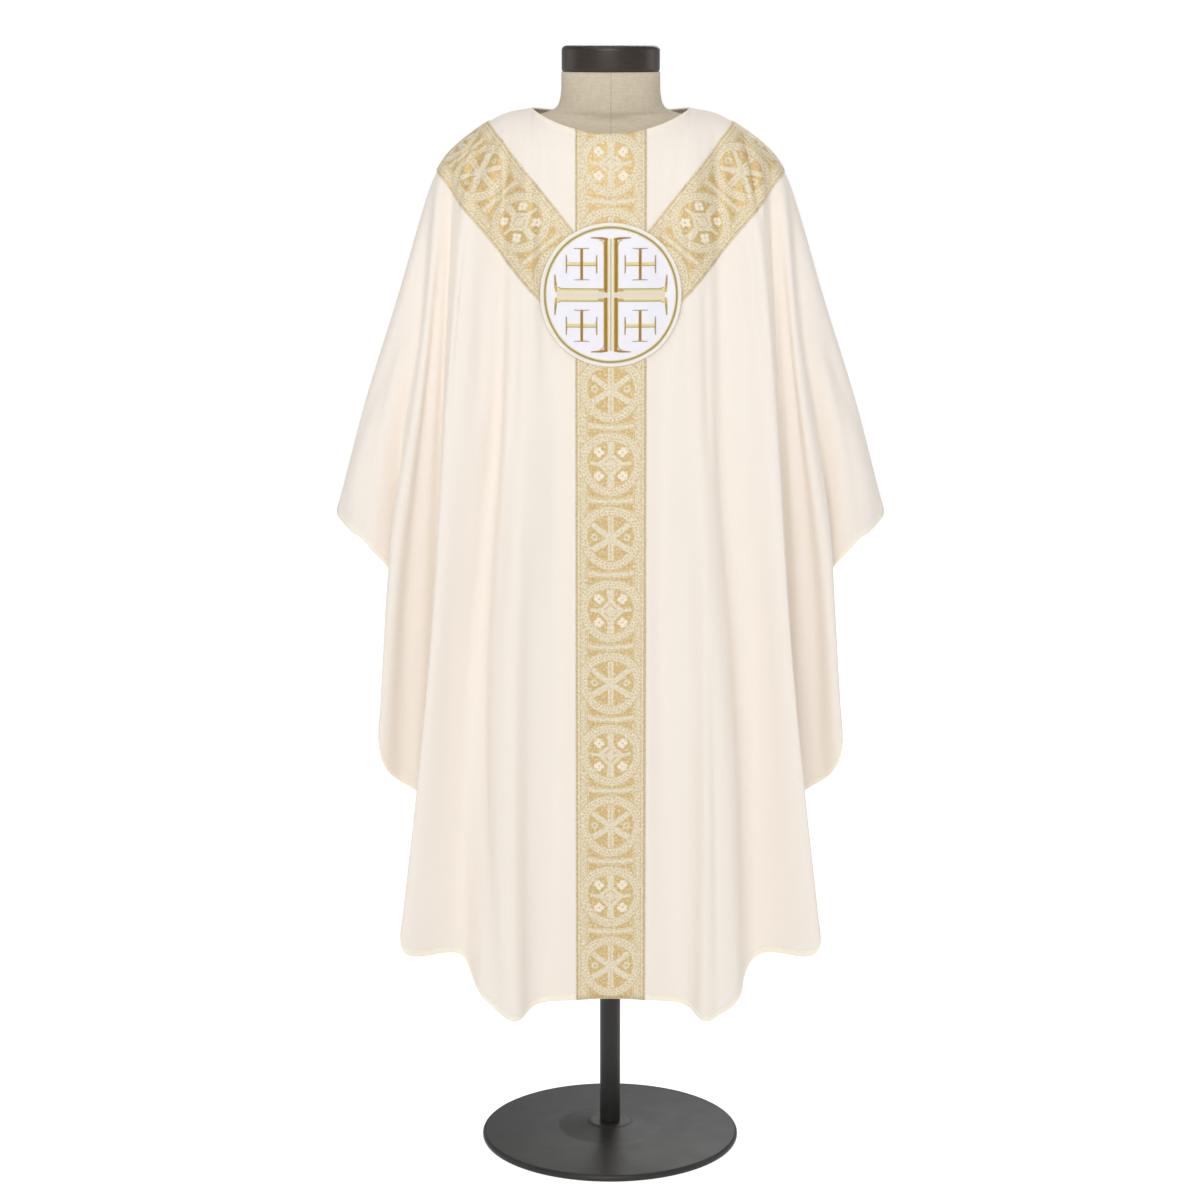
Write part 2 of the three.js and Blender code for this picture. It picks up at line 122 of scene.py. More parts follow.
# Soft creases laid in the flat cloth, one a row:
# from across, from down, to across, to down, half width, height (below zero is a trough), and how far the
# middle of the line bows sideways
FRONT_CREASES = [
    # right half: gathers under the slanting orphrey and the folds that grow out of them
    (291, 170, 282, 430, 8, -5.0, 3),
    (255, 210, 252, 520, 10, -4.6, 4),
    (188, 300, 200, 1480, 12, -11.0, 10),
    (214, 230, 205, 620, 9, -4.4, 5),
    (168, 270, 165, 540, 9, -3.6, 4),
    (190, 300, 186, 560, 8, 2.2, -4),
    (118, 560, 96, 1330, 14, -11.0, 6),
    (128, 60, 92, 430, 12, -2.4, 8),
    (150, 40, 124, 420, 10, 2.4, -8),
    (150, 740, 151, 1500, 8, -9.0, 4),
    (268, 500, 258, 1260, 13, 3.6, 6),
    (312, 330, 322, 1200, 11, -3.2, -6),
    (340, 180, 352, 1150, 13, -5.5, -8),
    (386, 120, 386, 1100, 10, -8.0, 4),
    (430, 150, 420, 1200, 12, -12.0, 6),
    (500, 200, 508, 900, 13, 3.4, -6),
    (534, 60, 536, 760, 10, -3.6, 3),
    (566, 90, 470, 640, 13, 2.6, 16),
    (610, 60, 604, 400, 11, -2.8, 5),
    (98, 20, 76, 130, 7, 1.6, 4),
    (140, 18, 128, 130, 6, 1.5, -4),
    # right shoulder: sharp ridges across the orphrey, with hollows beside them
    (306, 30, 326, 160, 6, 6.5, 4),
    (270, 60, 292, 170, 6, 5.5, 3),
    (287, 44, 306, 158, 4.5, -6.0, 3),
    (330, 20, 348, 110, 6, 4.0, -3),
    (246, 60, 262, 190, 7, 3.0, 4),
    # left half
    (-291, 160, -285, 460, 8, -5.4, -3),
    (-255, 230, -250, 480, 9, -4.2, 4),
    (-214, 320, -146, 1500, 11, -12.0, -18),
    (-216, 240, -210, 600, 10, -4.8, -5),
    (-166, 290, -165, 520, 9, -3.2, -4),
    (-184, 310, -190, 600, 8, 2.4, 4),
    (-114, 580, -97, 1330, 15, -11.0, -6),
    (-120, 70, -94, 400, 11, -2.6, -8),
    (-156, 40, -126, 440, 10, 2.2, 8),
    (-252, 420, -244, 1300, 14, 3.6, 6),
    (-272, 460, -260, 1260, 13, 3.2, -8),
    (-306, 300, -318, 1180, 11, -3.4, 6),
    (-336, 200, -350, 1150, 13, -5.5, 7),
    (-386, 100, -384, 1100, 10, -7.6, -5),
    (-432, 160, -422, 1200, 12, -12.0, -5),
    (-494, 170, -500, 900, 12, 3.2, 7),
    (-536, 70, -534, 760, 10, -3.2, -3),
    (-560, 100, -480, 600, 12, 2.4, -14),
    (-604, 80, -612, 420, 12, -2.4, -6),
    (-102, 24, -80, 120, 7, 1.8, -4),
    (-136, 20, -122, 140, 6, 1.4, 4),
    # left shoulder
    (-226, 54, -322, 146, 5.5, 9.0, 5),
    (-246, 46, -342, 132, 6, -4.5, 5),
    (-264, 38, -352, 112, 4.5, 6.5, 4),
    (-284, 28, -368, 96, 5, -3.5, 4),
    (-300, 16, -380, 76, 4.5, 4.0, 3),
    (-236, 110, -250, 190, 7, 3.0, 4),
]
BACK_CREASES = [
    (124, 60, 92, 460, 14, -2.4, 8),
    (160, 40, 130, 600, 15, 2.6, -9),
    (218, 140, 217, 1300, 12, -6.8, 5),
    (104, 560, 100, 1300, 18, -4.0, 6),
    (172, 500, 180, 1300, 16, 3.4, -7),
    (262, 300, 256, 1250, 12, 3.2, 6),
    (330, 260, 338, 1200, 14, -3.8, -7),
    (372, 100, 373, 1100, 10, -7.0, 4),
    (428, 240, 420, 950, 12, -3.2, 6),
    (492, 180, 498, 900, 13, 3.2, -6),
    (526, 70, 524, 760, 9, -5.2, 3),
    (560, 100, 474, 620, 13, 2.4, 15),
    (606, 70, 610, 400, 11, -2.4, 5),
    (290, 36, 296, 200, 7, 3.0, 5),
    (-118, 50, -98, 400, 13, -2.6, -8),
    (-152, 36, -124, 560, 15, 2.4, 9),
    (-217, 160, -219, 1300, 11, -7.2, -5),
    (-96, 620, -104, 1300, 17, -4.4, -6),
    (-178, 460, -172, 1300, 16, 3.6, 7),
    (-270, 340, -260, 1250, 13, 3.0, -7),
    (-324, 300, -336, 1200, 14, -3.6, 8),
    (-371, 80, -374, 1100, 10, -7.4, -5),
    (-436, 220, -430, 950, 13, -3.4, -6),
    (-486, 200, -490, 900, 12, 3.4, 6),
    (-524, 80, -527, 760, 9, -5.0, -3),
    (-566, 90, -484, 600, 12, 2.6, -14),
    (-612, 60, -604, 420, 12, -2.6, -5),
    (-284, 40, -292, 190, 7, 3.2, -5),
]

# Rings of the form: drop, half width x, half depth y, thinness at the sides
NECK_RINGS = [
    (-50, 69, 55, 0.5), (-22, 69.5, 55, 0.5), (-4, 74, 54.5, 0.55), (4, 86, 54, 0.75), (9, 106, 52, 1.05),
]
# Rings of its shoulders, which follow the seam: half width x, half depth y and thinness of the first and last
CREST_RINGS = 7
CREST_FROM = (160, 51, 1.25)
CREST_TO = (242, 80, 0.7)
CREST_GAP = 1.2                  # between the form and the cloth
TORSO_RINGS = [
    (142, 238, 86, 0.6), (190, 220, 92, 0.5), (245, 192, 97, 0.5), (320, 174, 101, 0.5), (400, 160, 99, 0.5),
    (480, 152, 94, 0.5), (590, 158, 97, 0.5), (700, 166, 102, 0.5), (785, 166, 102, 0.5), (800, 155, 92, 0.5),
]


# ---------- smooth lines and the cloth's surface ----------
def smooth(knots, rows, at, start_slope=None):
    """Smooth line through rows at their knots, read at every value of at."""
    knots, rows, at = (np.asarray(v, float) for v in (knots, rows, at))
    last = len(knots) - 1
    slopes = np.array([
        (rows[min(j + 1, last)] - rows[max(j - 1, 0)]) / (knots[min(j + 1, last)] - knots[max(j - 1, 0)])
        for j in range(last + 1)
    ])
    if start_slope is not None:
        slopes[0] = start_slope
    i = np.clip(np.searchsorted(knots, at) - 1, 0, last - 1)
    shape = (-1, *[1] * (rows.ndim - 1))
    span = (knots[i + 1] - knots[i]).reshape(shape)
    t = (at - knots[i]).reshape(shape) / span
    return (rows[i] * (2 * t**3 - 3 * t**2 + 1) + rows[i + 1] * (3 * t**2 - 2 * t**3)
            + span * (slopes[i] * (t**3 - 2 * t**2 + t) + slopes[i + 1] * (t**3 - t**2)))


def seam_drop(x):
    """Drop of the shoulder and arm line at half widths x."""
    knots, drops = zip(*SEAM_LINE)
    return smooth(knots, drops, np.maximum(np.atleast_1d(x), knots[0]))


def surface(panel, across, shares):
    """Points of a panel's middle surface, without creases: one row of points for each distance across."""
    folds = np.array(panel["folds"], float)
    mirrored = folds[[2, 1]] * [-1, -1, -1, -1, -1, 1, 1, 1, 1]
    rows = np.vstack([mirrored, folds])
    head, x1, x2, x3, out1, out2, out3, hem = smooth(rows[:, 0], rows[:, 1:], np.abs(across)).T
    head = np.maximum(head, 0)
    neck = np.sqrt(1 - np.clip(head / NECK_HALF_WIDTH, 0, 1) ** 2)
    top = np.where(head > NECK_HALF_WIDTH, seam_drop(head), panel["neck_drop"] * neck**NECK_CURVE)
    facing = panel["facing"]
    rows = np.array([
        [head, facing * (SEAM_GAP / 2 + panel["neck_depth"] * neck), top],
        [x1, facing * out1, top + (hem - top) / 3],
        [x2, facing * out2, top + (hem - top) * 2 / 3],
        [x3, facing * out3, hem],
    ]).transpose(0, 2, 1)
    lead = math.radians(panel["neck_lead"]) * neck
    pull = TURN_DOWN * (1 - NECK_REACH * neck) * out1
    slope = np.array([0 * pull, facing * pull * np.cos(lead), pull * np.sin(lead)]).T
    grid = smooth([0, 1 / 3, 2 / 3, 1], rows, shares, slope).transpose(1, 0, 2)
    grid[..., 0] *= np.where(np.asarray(across) < 0, -1, 1)[:, None]
    grid[..., 2] = NECK_HEIGHT - grid[..., 2]
    return grid


def unit(v):
    return v / np.maximum(np.linalg.norm(v, axis=-1, keepdims=True), 1e-9)


def run_along(points):
    """Distance from the start of a line to each of its points."""
    return np.concatenate([[0], np.cumsum(np.linalg.norm(np.diff(points, axis=0), axis=1))])


def grid_normals(grid, facing):
    """Outward normals of a grid of points."""
    along, down = np.gradient(grid, axis=0), np.gradient(grid, axis=1)
    return unit(np.cross(along, down) * facing)


EDGE_FADE = 30                   # creases grow from nothing over this distance from the top edge


def crease_heights(creases, across, down):
    """How far the creases lift each place of the flat cloth: a soft ridge or trough along a bowed line."""
    height = np.zeros_like(down)
    for a0, d0, a1, d1, half, rise, bow in creases:
        run = np.array([a1 - a0, d1 - d0], float)
        length = np.hypot(*run)
        along = ((across - a0) * run[0] + (down - d0) * run[1]) / length**2
        side = ((across - a0) * run[1] - (down - d0) * run[0]) / length
        side = side - bow * 4 * along * (1 - along)
        fade = np.sin(np.pi * np.clip(along, 0, 1)) ** 0.8
        height += rise * fade * np.exp(-0.5 * (side / half) ** 2)
    return height * np.clip(down / EDGE_FADE, 0, 1) ** 1.2


ROWS = 128
ROW_CROWDING = 1.3               # above 1 the rows crowd towards the shoulder
SHOULDER_CREASES = (225, 345)    # across the cloth, where the orphreys crease over the shoulders
COLUMNS = (46, 41, 64)           # up to the shoulder creases, over them, and beyond


def columns(widest):
    """Distances across the cloth, closer together where the orphreys crease over the shoulders."""
    stops = [0, *SHOULDER_CREASES, widest]
    runs = [np.linspace(*ends, count)[1:] for ends, count in zip(zip(stops, stops[1:]), COLUMNS)]
    half = np.concatenate([[0], *runs])
    return np.concatenate([-half[:0:-1], half])


def make_sheet(panel, creases):
    """A panel as a sheet: points, normals, flat cloth coordinates (across, down) and faces."""
    across = columns(panel["folds"][-1][0])
    count = len(across)
    shares = np.linspace(0, 1, ROWS) ** ROW_CROWDING
    grid = surface(panel, across, shares)
    steps = np.linalg.norm(np.diff(grid, axis=1), axis=2)
    down = np.concatenate([np.zeros((count, 1)), np.cumsum(steps, axis=1)], axis=1)
    wide = np.repeat(across[:, None], ROWS, axis=1)
    normals = grid_normals(grid, panel["facing"])
    grid = grid + normals * crease_heights(creases, wide, down)[..., None]
    normals = grid_normals(grid, panel["facing"])
    on_seam = np.abs(grid[:, 0, 0]) >= NECK_HALF_WIDTH - 1
    normals[on_seam, 0, 1] = 0
    normals = unit(normals)
    at = np.arange(count * ROWS).reshape(count, ROWS)
    quads = np.stack([at[:-1, :-1], at[:-1, 1:], at[1:, 1:], at[1:, :-1]], axis=-1).reshape(-1, 4)
    if panel["facing"] > 0:
        quads = quads[:, ::-1]
    flat = np.stack([wide, down], axis=-1)
    return {"points": grid.reshape(-1, 3), "normals": normals.reshape(-1, 3), "flat": flat.reshape(-1, 2),
            "faces": quads.tolist(), "grid": grid, "grid_normals": normals}


ON_EDGE = 0.05                   # points this near an edge of a cut lie on it


def clip(sheet, edges):
    """Keeps the part of a sheet where a*x + b*z <= limit for every edge (a, b, limit)."""
    rows = np.hstack([sheet["points"], sheet["normals"], sheet["flat"]])
    faces = sheet["faces"]
    for a, b, limit in edges:
        side = a * rows[:, 0] + b * rows[:, 2] - limit
        side[np.abs(side) < ON_EDGE] = 0
        cuts, added, kept = {}, [], []
        for face in faces:
            here = [side[i] for i in face]
            if max(here) <= 0:
                if min(here) < 0:
                    kept.append(face)
                continue
            if min(here) >= 0:
                continue
            new = []
            for n, i in enumerate(face):
                j = face[(n + 1) % len(face)]
                if side[i] <= 0:
                    new.append(i)
                if side[i] * side[j] < 0:
                    low, high = min(i, j), max(i, j)
                    if (low, high) not in cuts:
                        share = side[low] / (side[low] - side[high])
                        cuts[low, high] = len(rows) + len(added)
                        added.append(rows[low] + (rows[high] - rows[low]) * share)
                    new.append(cuts[low, high])
            kept.append(new)
        if added:
            rows = np.vstack([rows, added])
        faces = kept
    used = sorted({i for face in faces for i in face})
    place = {old: now for now, old in enumerate(used)}
    rows = rows[used]
    return {"points": rows[:, :3], "normals": unit(rows[:, 3:6]), "flat": rows[:, 6:],
            "faces": [[place[i] for i in face] for face in faces]}


# ---------- meshes ----------
def add_mesh(name, points, faces, uv=None):
    """Object of a mesh given in millimetres. uv has one place for each point, in millimetres too."""
    mesh = bpy.data.meshes.new(name)
    mesh.from_pydata((np.asarray(points) * MM).tolist(), [], [list(f) for f in faces])
    mesh.validate()
    mesh.shade_smooth()
    if uv is not None:
        corner = np.empty(len(mesh.loops), dtype=int)
        mesh.loops.foreach_get("vertex_index", corner)
        layer = mesh.uv_layers.new(name="flat")
        layer.data.foreach_set("uv", (np.asarray(uv)[corner] * MM).ravel())
    obj = bpy.data.objects.new(name, mesh)
    bpy.context.collection.objects.link(obj)
    return obj


def boundary(faces):
    """Edges that only one face has, in that face's direction."""
    edges = dict.fromkeys((i, j) for face in faces for i, j in zip(face, face[1:] + face[:1]))
    return [(i, j) for i, j in edges if (j, i) not in edges]


def thicken(name, sheet, low, high, uv=None):
    """Closed wall between two distances outside a sheet's middle surface."""
    points, normals, faces = sheet["points"], sheet["normals"], sheet["faces"]
    uv = sheet["flat"] if uv is None else uv
    count = len(points)
    walls = [[j, i, i + count, j + count] for i, j in boundary(faces)]
    inner = [[i + count for i in reversed(face)] for face in faces]
    return add_mesh(name, np.vstack([points + normals * high, points + normals * low]),
                    [*faces, *inner, *walls], np.vstack([uv, uv]))


def rounded(profile, radius, steps=4):
    """A profile with its inner corners rounded."""
    out = [profile[0]]
    for before, here, after in zip(profile, profile[1:], profile[2:]):
        b, h, a = (np.array(p, float) for p in (before, here, after))
        cut = min(radius, 0.45 * np.linalg.norm(b - h), 0.45 * np.linalg.norm(a - h))
        start, end = h + unit(b - h) * cut, h + unit(a - h) * cut
        for s in range(steps + 1):
            t = s / steps
            out.append(tuple((1 - t) ** 2 * start + 2 * t * (1 - t) * h + t**2 * end))
    return out + [profile[-1]]


def lathe(name, profile, corner, turns, bottom, flatten=1.0):
    """Turned solid. Its profile of (radius, height) runs from its underside's middle to its top's."""
    profile = rounded(profile, corner)
    points = [(0, 0, bottom + profile[0][1])]
    for r, z in profile[1:-1]:
        for s in range(turns):
            turn = 2 * math.pi * s / turns
            points.append((r * math.cos(turn), flatten * r * math.sin(turn), bottom + z))
    points.append((0, 0, bottom + profile[-1][1]))
    faces = []
    for s in range(turns):
        after = (s + 1) % turns
        faces.append([0, 1 + after, 1 + s])
        for k in range(len(profile) - 3):
            a, b = 1 + k * turns, 1 + (k + 1) * turns
            faces.append([a + s, a + after, b + after, b + s])
        top = 1 + (len(profile) - 3) * turns
        faces.append([len(points) - 1, top + s, top + after])
    obj = add_mesh(name, points, faces)
    face_outwards(obj)
    return obj


def edge_fold(name, edge, inward, normals, section):
    """Folded edge of cloth: a closed section of (inward, outward) places swept along an edge."""
    section = np.array(section)
    size = len(section)
    points = edge[:, None] + inward[:, None] * section[:, :1] + normals[:, None] * section[:, 1:]
    points = points.reshape(-1, 3)
    at = np.arange(len(points)).reshape(len(edge), size)
    beside = np.roll(at, -1, axis=1)
    walls = np.stack([at[:-1], beside[:-1], beside[1:], at[1:]], axis=-1).reshape(-1, 4)
    faces = [*walls.tolist(), at[0, ::-1].tolist(), at[-1].tolist()]
    uv = np.stack([np.repeat(run_along(edge), size), np.tile(section[:, 0], len(edge))], axis=-1)
    obj = add_mesh(name, points, faces, uv)
    face_outwards(obj)
    return obj


def face_outwards(obj):
    """Turns a closed mesh right side out if its faces point inwards."""
    bm = bmesh.new()
    bm.from_mesh(obj.data)
    if bm.calc_volume(signed=True) < 0:
        bmesh.ops.reverse_faces(bm, faces=bm.faces)
        bm.to_mesh(obj.data)
    bm.free()


# ---------- node helpers ----------
def linear(hex_colour):
    """sRGB hex colour as the linear values a shader takes."""
    parts = [int(hex_colour[i:i + 2], 16) / 255 for i in (1, 3, 5)]
    return tuple(p / 12.92 if p <= 0.04045 else ((p + 0.055) / 1.055) ** 2.4 for p in parts) + (1.0,)


def put(tree, kind, inputs=None, **settings):
    """Adds a node with its settings. inputs gives each input, by name or number, a value, socket or node."""
    node = tree.nodes.new(kind)
    for key, value in settings.items():
        setattr(node, key, value)
    for key, value in (inputs or {}).items():
        socket = node.inputs[key]
        if isinstance(value, bpy.types.Node):
            value = value.outputs[0]
        if isinstance(value, bpy.types.NodeSocket):
            tree.links.new(value, socket)
        else:
            socket.default_value = value
    return node


OPERATIONS = {
    ast.Add: "ADD", ast.Sub: "SUBTRACT", ast.Mult: "MULTIPLY", ast.Div: "DIVIDE",
    ast.Mod: "FLOORED_MODULO", ast.Pow: "POWER", "abs": "ABSOLUTE", "min": "MINIMUM", "max": "MAXIMUM",
    "sqrt": "SQRT", "atan2": "ARCTAN2", "floor": "FLOOR", "sin": "SINE",
}


def formula(tree, text, **named):
    """Builds the arithmetic in text from math nodes. Its names are sockets or numbers."""
    def build(part):
        if isinstance(part, ast.Constant):
            return part.value
        if isinstance(part, ast.Name):
            return named[part.id]
        if isinstance(part, ast.UnaryOp):
            kind, values = "MULTIPLY", [build(part.operand), -1]
        elif isinstance(part, ast.BinOp):
            kind, values = OPERATIONS[type(part.op)], [build(part.left), build(part.right)]
        else:
            kind, values = OPERATIONS[part.func.id], [build(a) for a in part.args]
        while len(values) > 2:
            joined = put(tree, "ShaderNodeMath", dict(enumerate(values[:2])), operation=kind)
            values = [joined, *values[2:]]
        return put(tree, "ShaderNodeMath", dict(enumerate(values)), operation=kind).outputs[0]
    return build(ast.parse(text).body[0].value)


def blend(tree, share, first, second):
    """Colour between two, by a share from 0 to 1."""
    return put(tree, "ShaderNodeMix", {0: share, 6: first, 7: second}, data_type="RGBA").outputs[2]


def new_material(name, **finish):
    """Material with a principled shader, given its own plain values."""
    material = bpy.data.materials.new(name)
    material.use_nodes = True
    tree = material.node_tree
    tree.nodes.clear()
    shader = put(tree, "ShaderNodeBsdfPrincipled", {k.replace("_", " "): v for k, v in finish.items()})
    put(tree, "ShaderNodeOutputMaterial", {"Surface": shader})
    return material, tree, shader


def wire(tree, shader, **sockets):
    """Links sockets or nodes to a shader's inputs."""
    for key, value in sockets.items():
        if isinstance(value, bpy.types.Node):
            value = value.outputs[0]
        tree.links.new(value, shader.inputs[key.replace("_", " ")])


def bump(tree, shader, height, strength, depth):
    """Relief of a depth in millimetres, which height from 0 to 1 drives."""
    node = put(tree, "ShaderNodeBump", {"Strength": strength, "Distance": depth * MM, "Height": height})
    wire(tree, shader, Normal=node)


def flat_mm(tree):
    """Where a place lies on the flat cloth: across and down in millimetres, and both as one socket."""
    uv = put(tree, "ShaderNodeUVMap", uv_map="flat")
    parts = put(tree, "ShaderNodeSeparateXYZ", {0: uv})
    return formula(tree, "u * 1000", u=parts.outputs[0]), formula(tree, "v * 1000", v=parts.outputs[1]), uv


# ---------- finishes ----------
def ivory_crepe():
    """Polyester crepe: matt, faintly pebbled ivory cloth with a low sheen where it is seen at a slant."""
    material, tree, shader = new_material(
        "ivory_polyester_crepe", Roughness=0.82, Specular_IOR_Level=0.3, IOR=1.5, Sheen_Weight=0.18,
        Sheen_Roughness=0.45, Sheen_Tint=linear("#fff8ee"))
    u, v, uv = flat_mm(tree)
    # Threads are 0.25 mm apart in the real cloth and drawn at 1.8 mm, as fine as shows.
    weave = formula(tree, "sin(u * 3.49) * sin(v * 3.49)", u=u, v=v)
    pebble = put(tree, "ShaderNodeTexNoise", {"Vector": uv, "Scale": 380, "Detail": 3, "Roughness": 0.6})
    cloudy = put(tree, "ShaderNodeTexNoise", {"Vector": uv, "Scale": 7, "Detail": 2})
    tone = formula(tree, "0.35 * c + 0.3 * p + 0.1 * w", c=cloudy.outputs[0], p=pebble.outputs[0], w=weave)
    wire(tree, shader, Base_Color=blend(tree, tone, linear("#f3eae0"), linear("#f8f0e6")))
    height = formula(tree, "p + 0.25 * w", p=pebble.outputs[0], w=weave)
    bump(tree, shader, height, 0.16, 0.4)
    return material


def hem_crepe():
    """The same crepe turned double: a shade warmer, because light no longer passes through it."""
    material, tree, shader = new_material(
        "turned_crepe_hem", Roughness=0.82, Sheen_Weight=0.15, Sheen_Roughness=0.45)
    u, _, uv = flat_mm(tree)
    # Sewing puckers the turned cloth every 5.7 mm.
    pucker = formula(tree, "sin(u * 1.1) * 0.5 + 0.5", u=u)
    noise = put(tree, "ShaderNodeTexNoise", {"Vector": uv, "Scale": 90, "Detail": 3})
    wire(tree, shader, Base_Color=blend(tree, noise.outputs[0], linear("#f7eedb"), linear("#fcf6e8")))
    height = formula(tree, "0.4 * p + n", p=pucker, n=noise.outputs[0])
    bump(tree, shader, height, 0.3, 0.5)
    return material


CELL = 103                       # length of the brocade's repeat of one ring
# Distances in millimetres to the figures of the brocade, below zero inside them.
# x and y run from the middle of a cell, h is half its length, r is the distance from its middle, and t runs
# along the band.
# Gilt ground: outer and inner lines of the border, spandrels between the pearled rings and the bars, and
# lines of the rings, which stop at the outer border
OUTER_LINES = "min(abs(x - 46.5) - 0.8, abs(x - 42.4) - 0.6)"
INNER_LINES = "min(abs(x - 32.9) - 0.7, abs(x - 35.2) - 0.3)"
SPANDRELS = "max(x - 31.4, 45.2 - r, 4.3 - abs(h - y))"
BAR_LINES = "max(abs(abs(h - y) - 3.1) - 0.45, x - 31)"
RING_LINES = "max(min(abs(r - 44.4) - 0.7, abs(r - 32.4) - 0.6), x - 40.6)"
# Dark specks between the pearls, in two rows round each ring and down each border
RING_SPECKS = (
    "min(sqrt((((atan2(y, x) * 7.639) % 1 - 0.5) * 5.2) ** 2 + (r - 36.4) ** 2),"
    " sqrt((((atan2(y, x) * 7.639 + 0.5) % 1 - 0.5) * 5.2) ** 2 + (r - 40.6) ** 2)) - 1.05"
)
BORDER_SPECKS = (
    "min(sqrt(((t % 4.9) - 2.45) ** 2 + (x - 37.4) ** 2),"
    " sqrt((((t + 2.45) % 4.9) - 2.45) ** 2 + (x - 40) ** 2)) - 0.85"
)
# Ivory figures inside the rings
QUATREFOILS = (
    "max(min(sqrt((abs(x - 16.5) - 3.9) ** 2 + abs(y - 16.5) ** 2),"
    " sqrt(abs(x - 16.5) ** 2 + (abs(y - 16.5) - 3.9) ** 2)) - 3.3,"
    " 1.1 - sqrt((x - 16.5) ** 2 + (y - 16.5) ** 2))"
)
LOZENGE = (
    "min(max((x / 20 + y / 18 - 1) * 13, 0.7 - abs((x / 20 + y / 18 - 0.55) * 13)),"
    " max(y - 2.4, x - 29), max(x - 2.8 - 0.09 * y, 9 - y), max(28 - r, abs(y - x) - 3.6))"
)
WHEEL = (
    "min(max(x - 4.1, 0.5 - x), abs(0.57 * x - 0.82 * y) - 4.0, r - 7,"
    " abs(sqrt((x - 22.5) ** 2 + y ** 2) - 3.6) - 1.3)"
)


def gold_brocade():
    """Jacquard brocade: gilt-thread satin ground and ivory figures in a duller twill; its glints are partly
    painted highlights.
    """
    material, tree, shader = new_material(
        "gilt_and_ivory_jacquard_brocade", Specular_IOR_Level=0.3, Sheen_Weight=0.1, Sheen_Roughness=0.4,
        Sheen_Tint=linear("#fff0cc"))
    u, v, uv = flat_mm(tree)
    x = formula(tree, "abs(u)", u=u)
    half = CELL / 2
    y = formula(tree, "abs((v + h) % c - h)", v=v, h=half, c=CELL)
    r = formula(tree, "sqrt(x ** 2 + y ** 2)", x=x, y=y)
    wheel = formula(tree, "floor((v + h) / c) % 2", v=v, h=half, c=CELL)
    figures = (OUTER_LINES, INNER_LINES, SPANDRELS, BAR_LINES, RING_LINES, RING_SPECKS, BORDER_SPECKS,
               QUATREFOILS, LOZENGE, WHEEL)
    outer, inner, spandrels, bars, ring, ring_specks, border_specks, quatrefoils, lozenge, spokes = (
        formula(tree, text, x=x, y=y, r=r, t=v, h=half) for text in figures)
    figure = formula(tree, "min(q, l) * (1 - w) + s * w", q=quatrefoils, l=lozenge, s=spokes, w=wheel)
    field = formula(tree, "max(r - 31.8, 0 - f)", r=r, f=figure)
    # The outer border runs over the rings, and the inner one under them.
    border = formula(tree, "min(o, max(min(i, k), 45 - r))", o=outer, i=inner, k=border_specks, r=r)
    pearls = formula(tree, "max(k, abs(r - 38.4) - 5, x - 40.6)", k=ring_specks, r=r, x=x)
    gilt = formula(tree, "min(b, s, bars, ring, field, pearls)",
                   b=border, s=spandrels, bars=bars, ring=ring, field=field, pearls=pearls)
    # The weave steps in threads, which roughens the figures' edges.
    jitter = put(tree, "ShaderNodeTexNoise", {"Vector": uv, "Scale": 800, "Detail": 1})
    mask = formula(tree, "max(0, min(1, 0.5 + (d + (j - 0.5) * 2.4) / 1.4))", d=gilt, j=jitter.outputs[0])
    bright = formula(tree, "max(0, min(1, 0.5 - max(r - 30, q, w - 0.5) / 1.1))", r=r, q=quatrefoils, w=wheel)
    # Pairs of threads are 0.4 mm apart, drawn at 1.5 mm.
    warp = formula(tree, "sin(u * 4.19) * 0.5 + 0.5", u=u)
    twill = formula(tree, "sin((u + v) * 3.2) * 0.5 + 0.5", u=u, v=v)
    gold = blend(tree, warp, linear("#c6a666"), linear("#e2c993"))
    pale = blend(tree, twill, linear("#d7caab"), linear("#f1e8d3"))
    ivory = blend(tree, bright, pale, linear("#f4eada"))
    # Painted glints: specks of painted highlight where foil threads would catch the light one by one, and
    # duller specks of tone between them where bound warps lie.
    painted_glints_and_specks = put(tree, "ShaderNodeTexNoise", {"Vector": uv, "Scale": 300, "Detail": 3, "Roughness": 0.8})
    lit = formula(tree, "max(0, min(1, (g - 0.53) * 8)) * 0.7", g=painted_glints_and_specks.outputs[0])
    dull = formula(tree, "max(0, min(1, (0.46 - g) * 8)) * 0.45", g=painted_glints_and_specks.outputs[0])
    woven = blend(tree, mask, gold, ivory)
    woven = blend(tree, lit, woven, linear("#fff4d8"))
    woven = blend(tree, dull, woven, linear("#9c8556"))
    wire(tree, shader, Base_Color=woven,
         Roughness=formula(tree, "0.5 + 0.12 * m", m=mask),
         Metallic=formula(tree, "0.24 - 0.14 * m", m=mask))
    height = formula(tree, "m * 1.2 + 0.25 * w * (1 - m) + 0.25 * t * m", m=mask, w=warp, t=twill)
    bump(tree, shader, height, 0.35, 0.3)
    return material


def white_satin():
    """Duchesse satin: long floats lie side by side, so the cool white ground has a smooth silky lustre."""
    material, tree, shader = new_material(
        "white_duchesse_satin", Roughness=0.38, Sheen_Weight=0.2, Sheen_Roughness=0.3,
        Sheen_Tint=linear("#f4f4ff"))
    u, _, uv = flat_mm(tree)
    # Floats are 0.2 mm apart, drawn at 1.5 mm.
    floats = formula(tree, "sin(u * 4.2) * 0.5 + 0.5", u=u)
    cloudy = put(tree, "ShaderNodeTexNoise", {"Vector": uv, "Scale": 60, "Detail": 2})
    tone = formula(tree, "0.4 * f + 0.6 * c", f=floats, c=cloudy.outputs[0])
    wire(tree, shader, Base_Color=blend(tree, tone, linear("#e9e7f1"), linear("#f6f5fb")))
    height = formula(tree, "0.5 * f + c", f=floats, c=cloudy.outputs[0])
    bump(tree, shader, height, 0.12, 0.4)
    return material


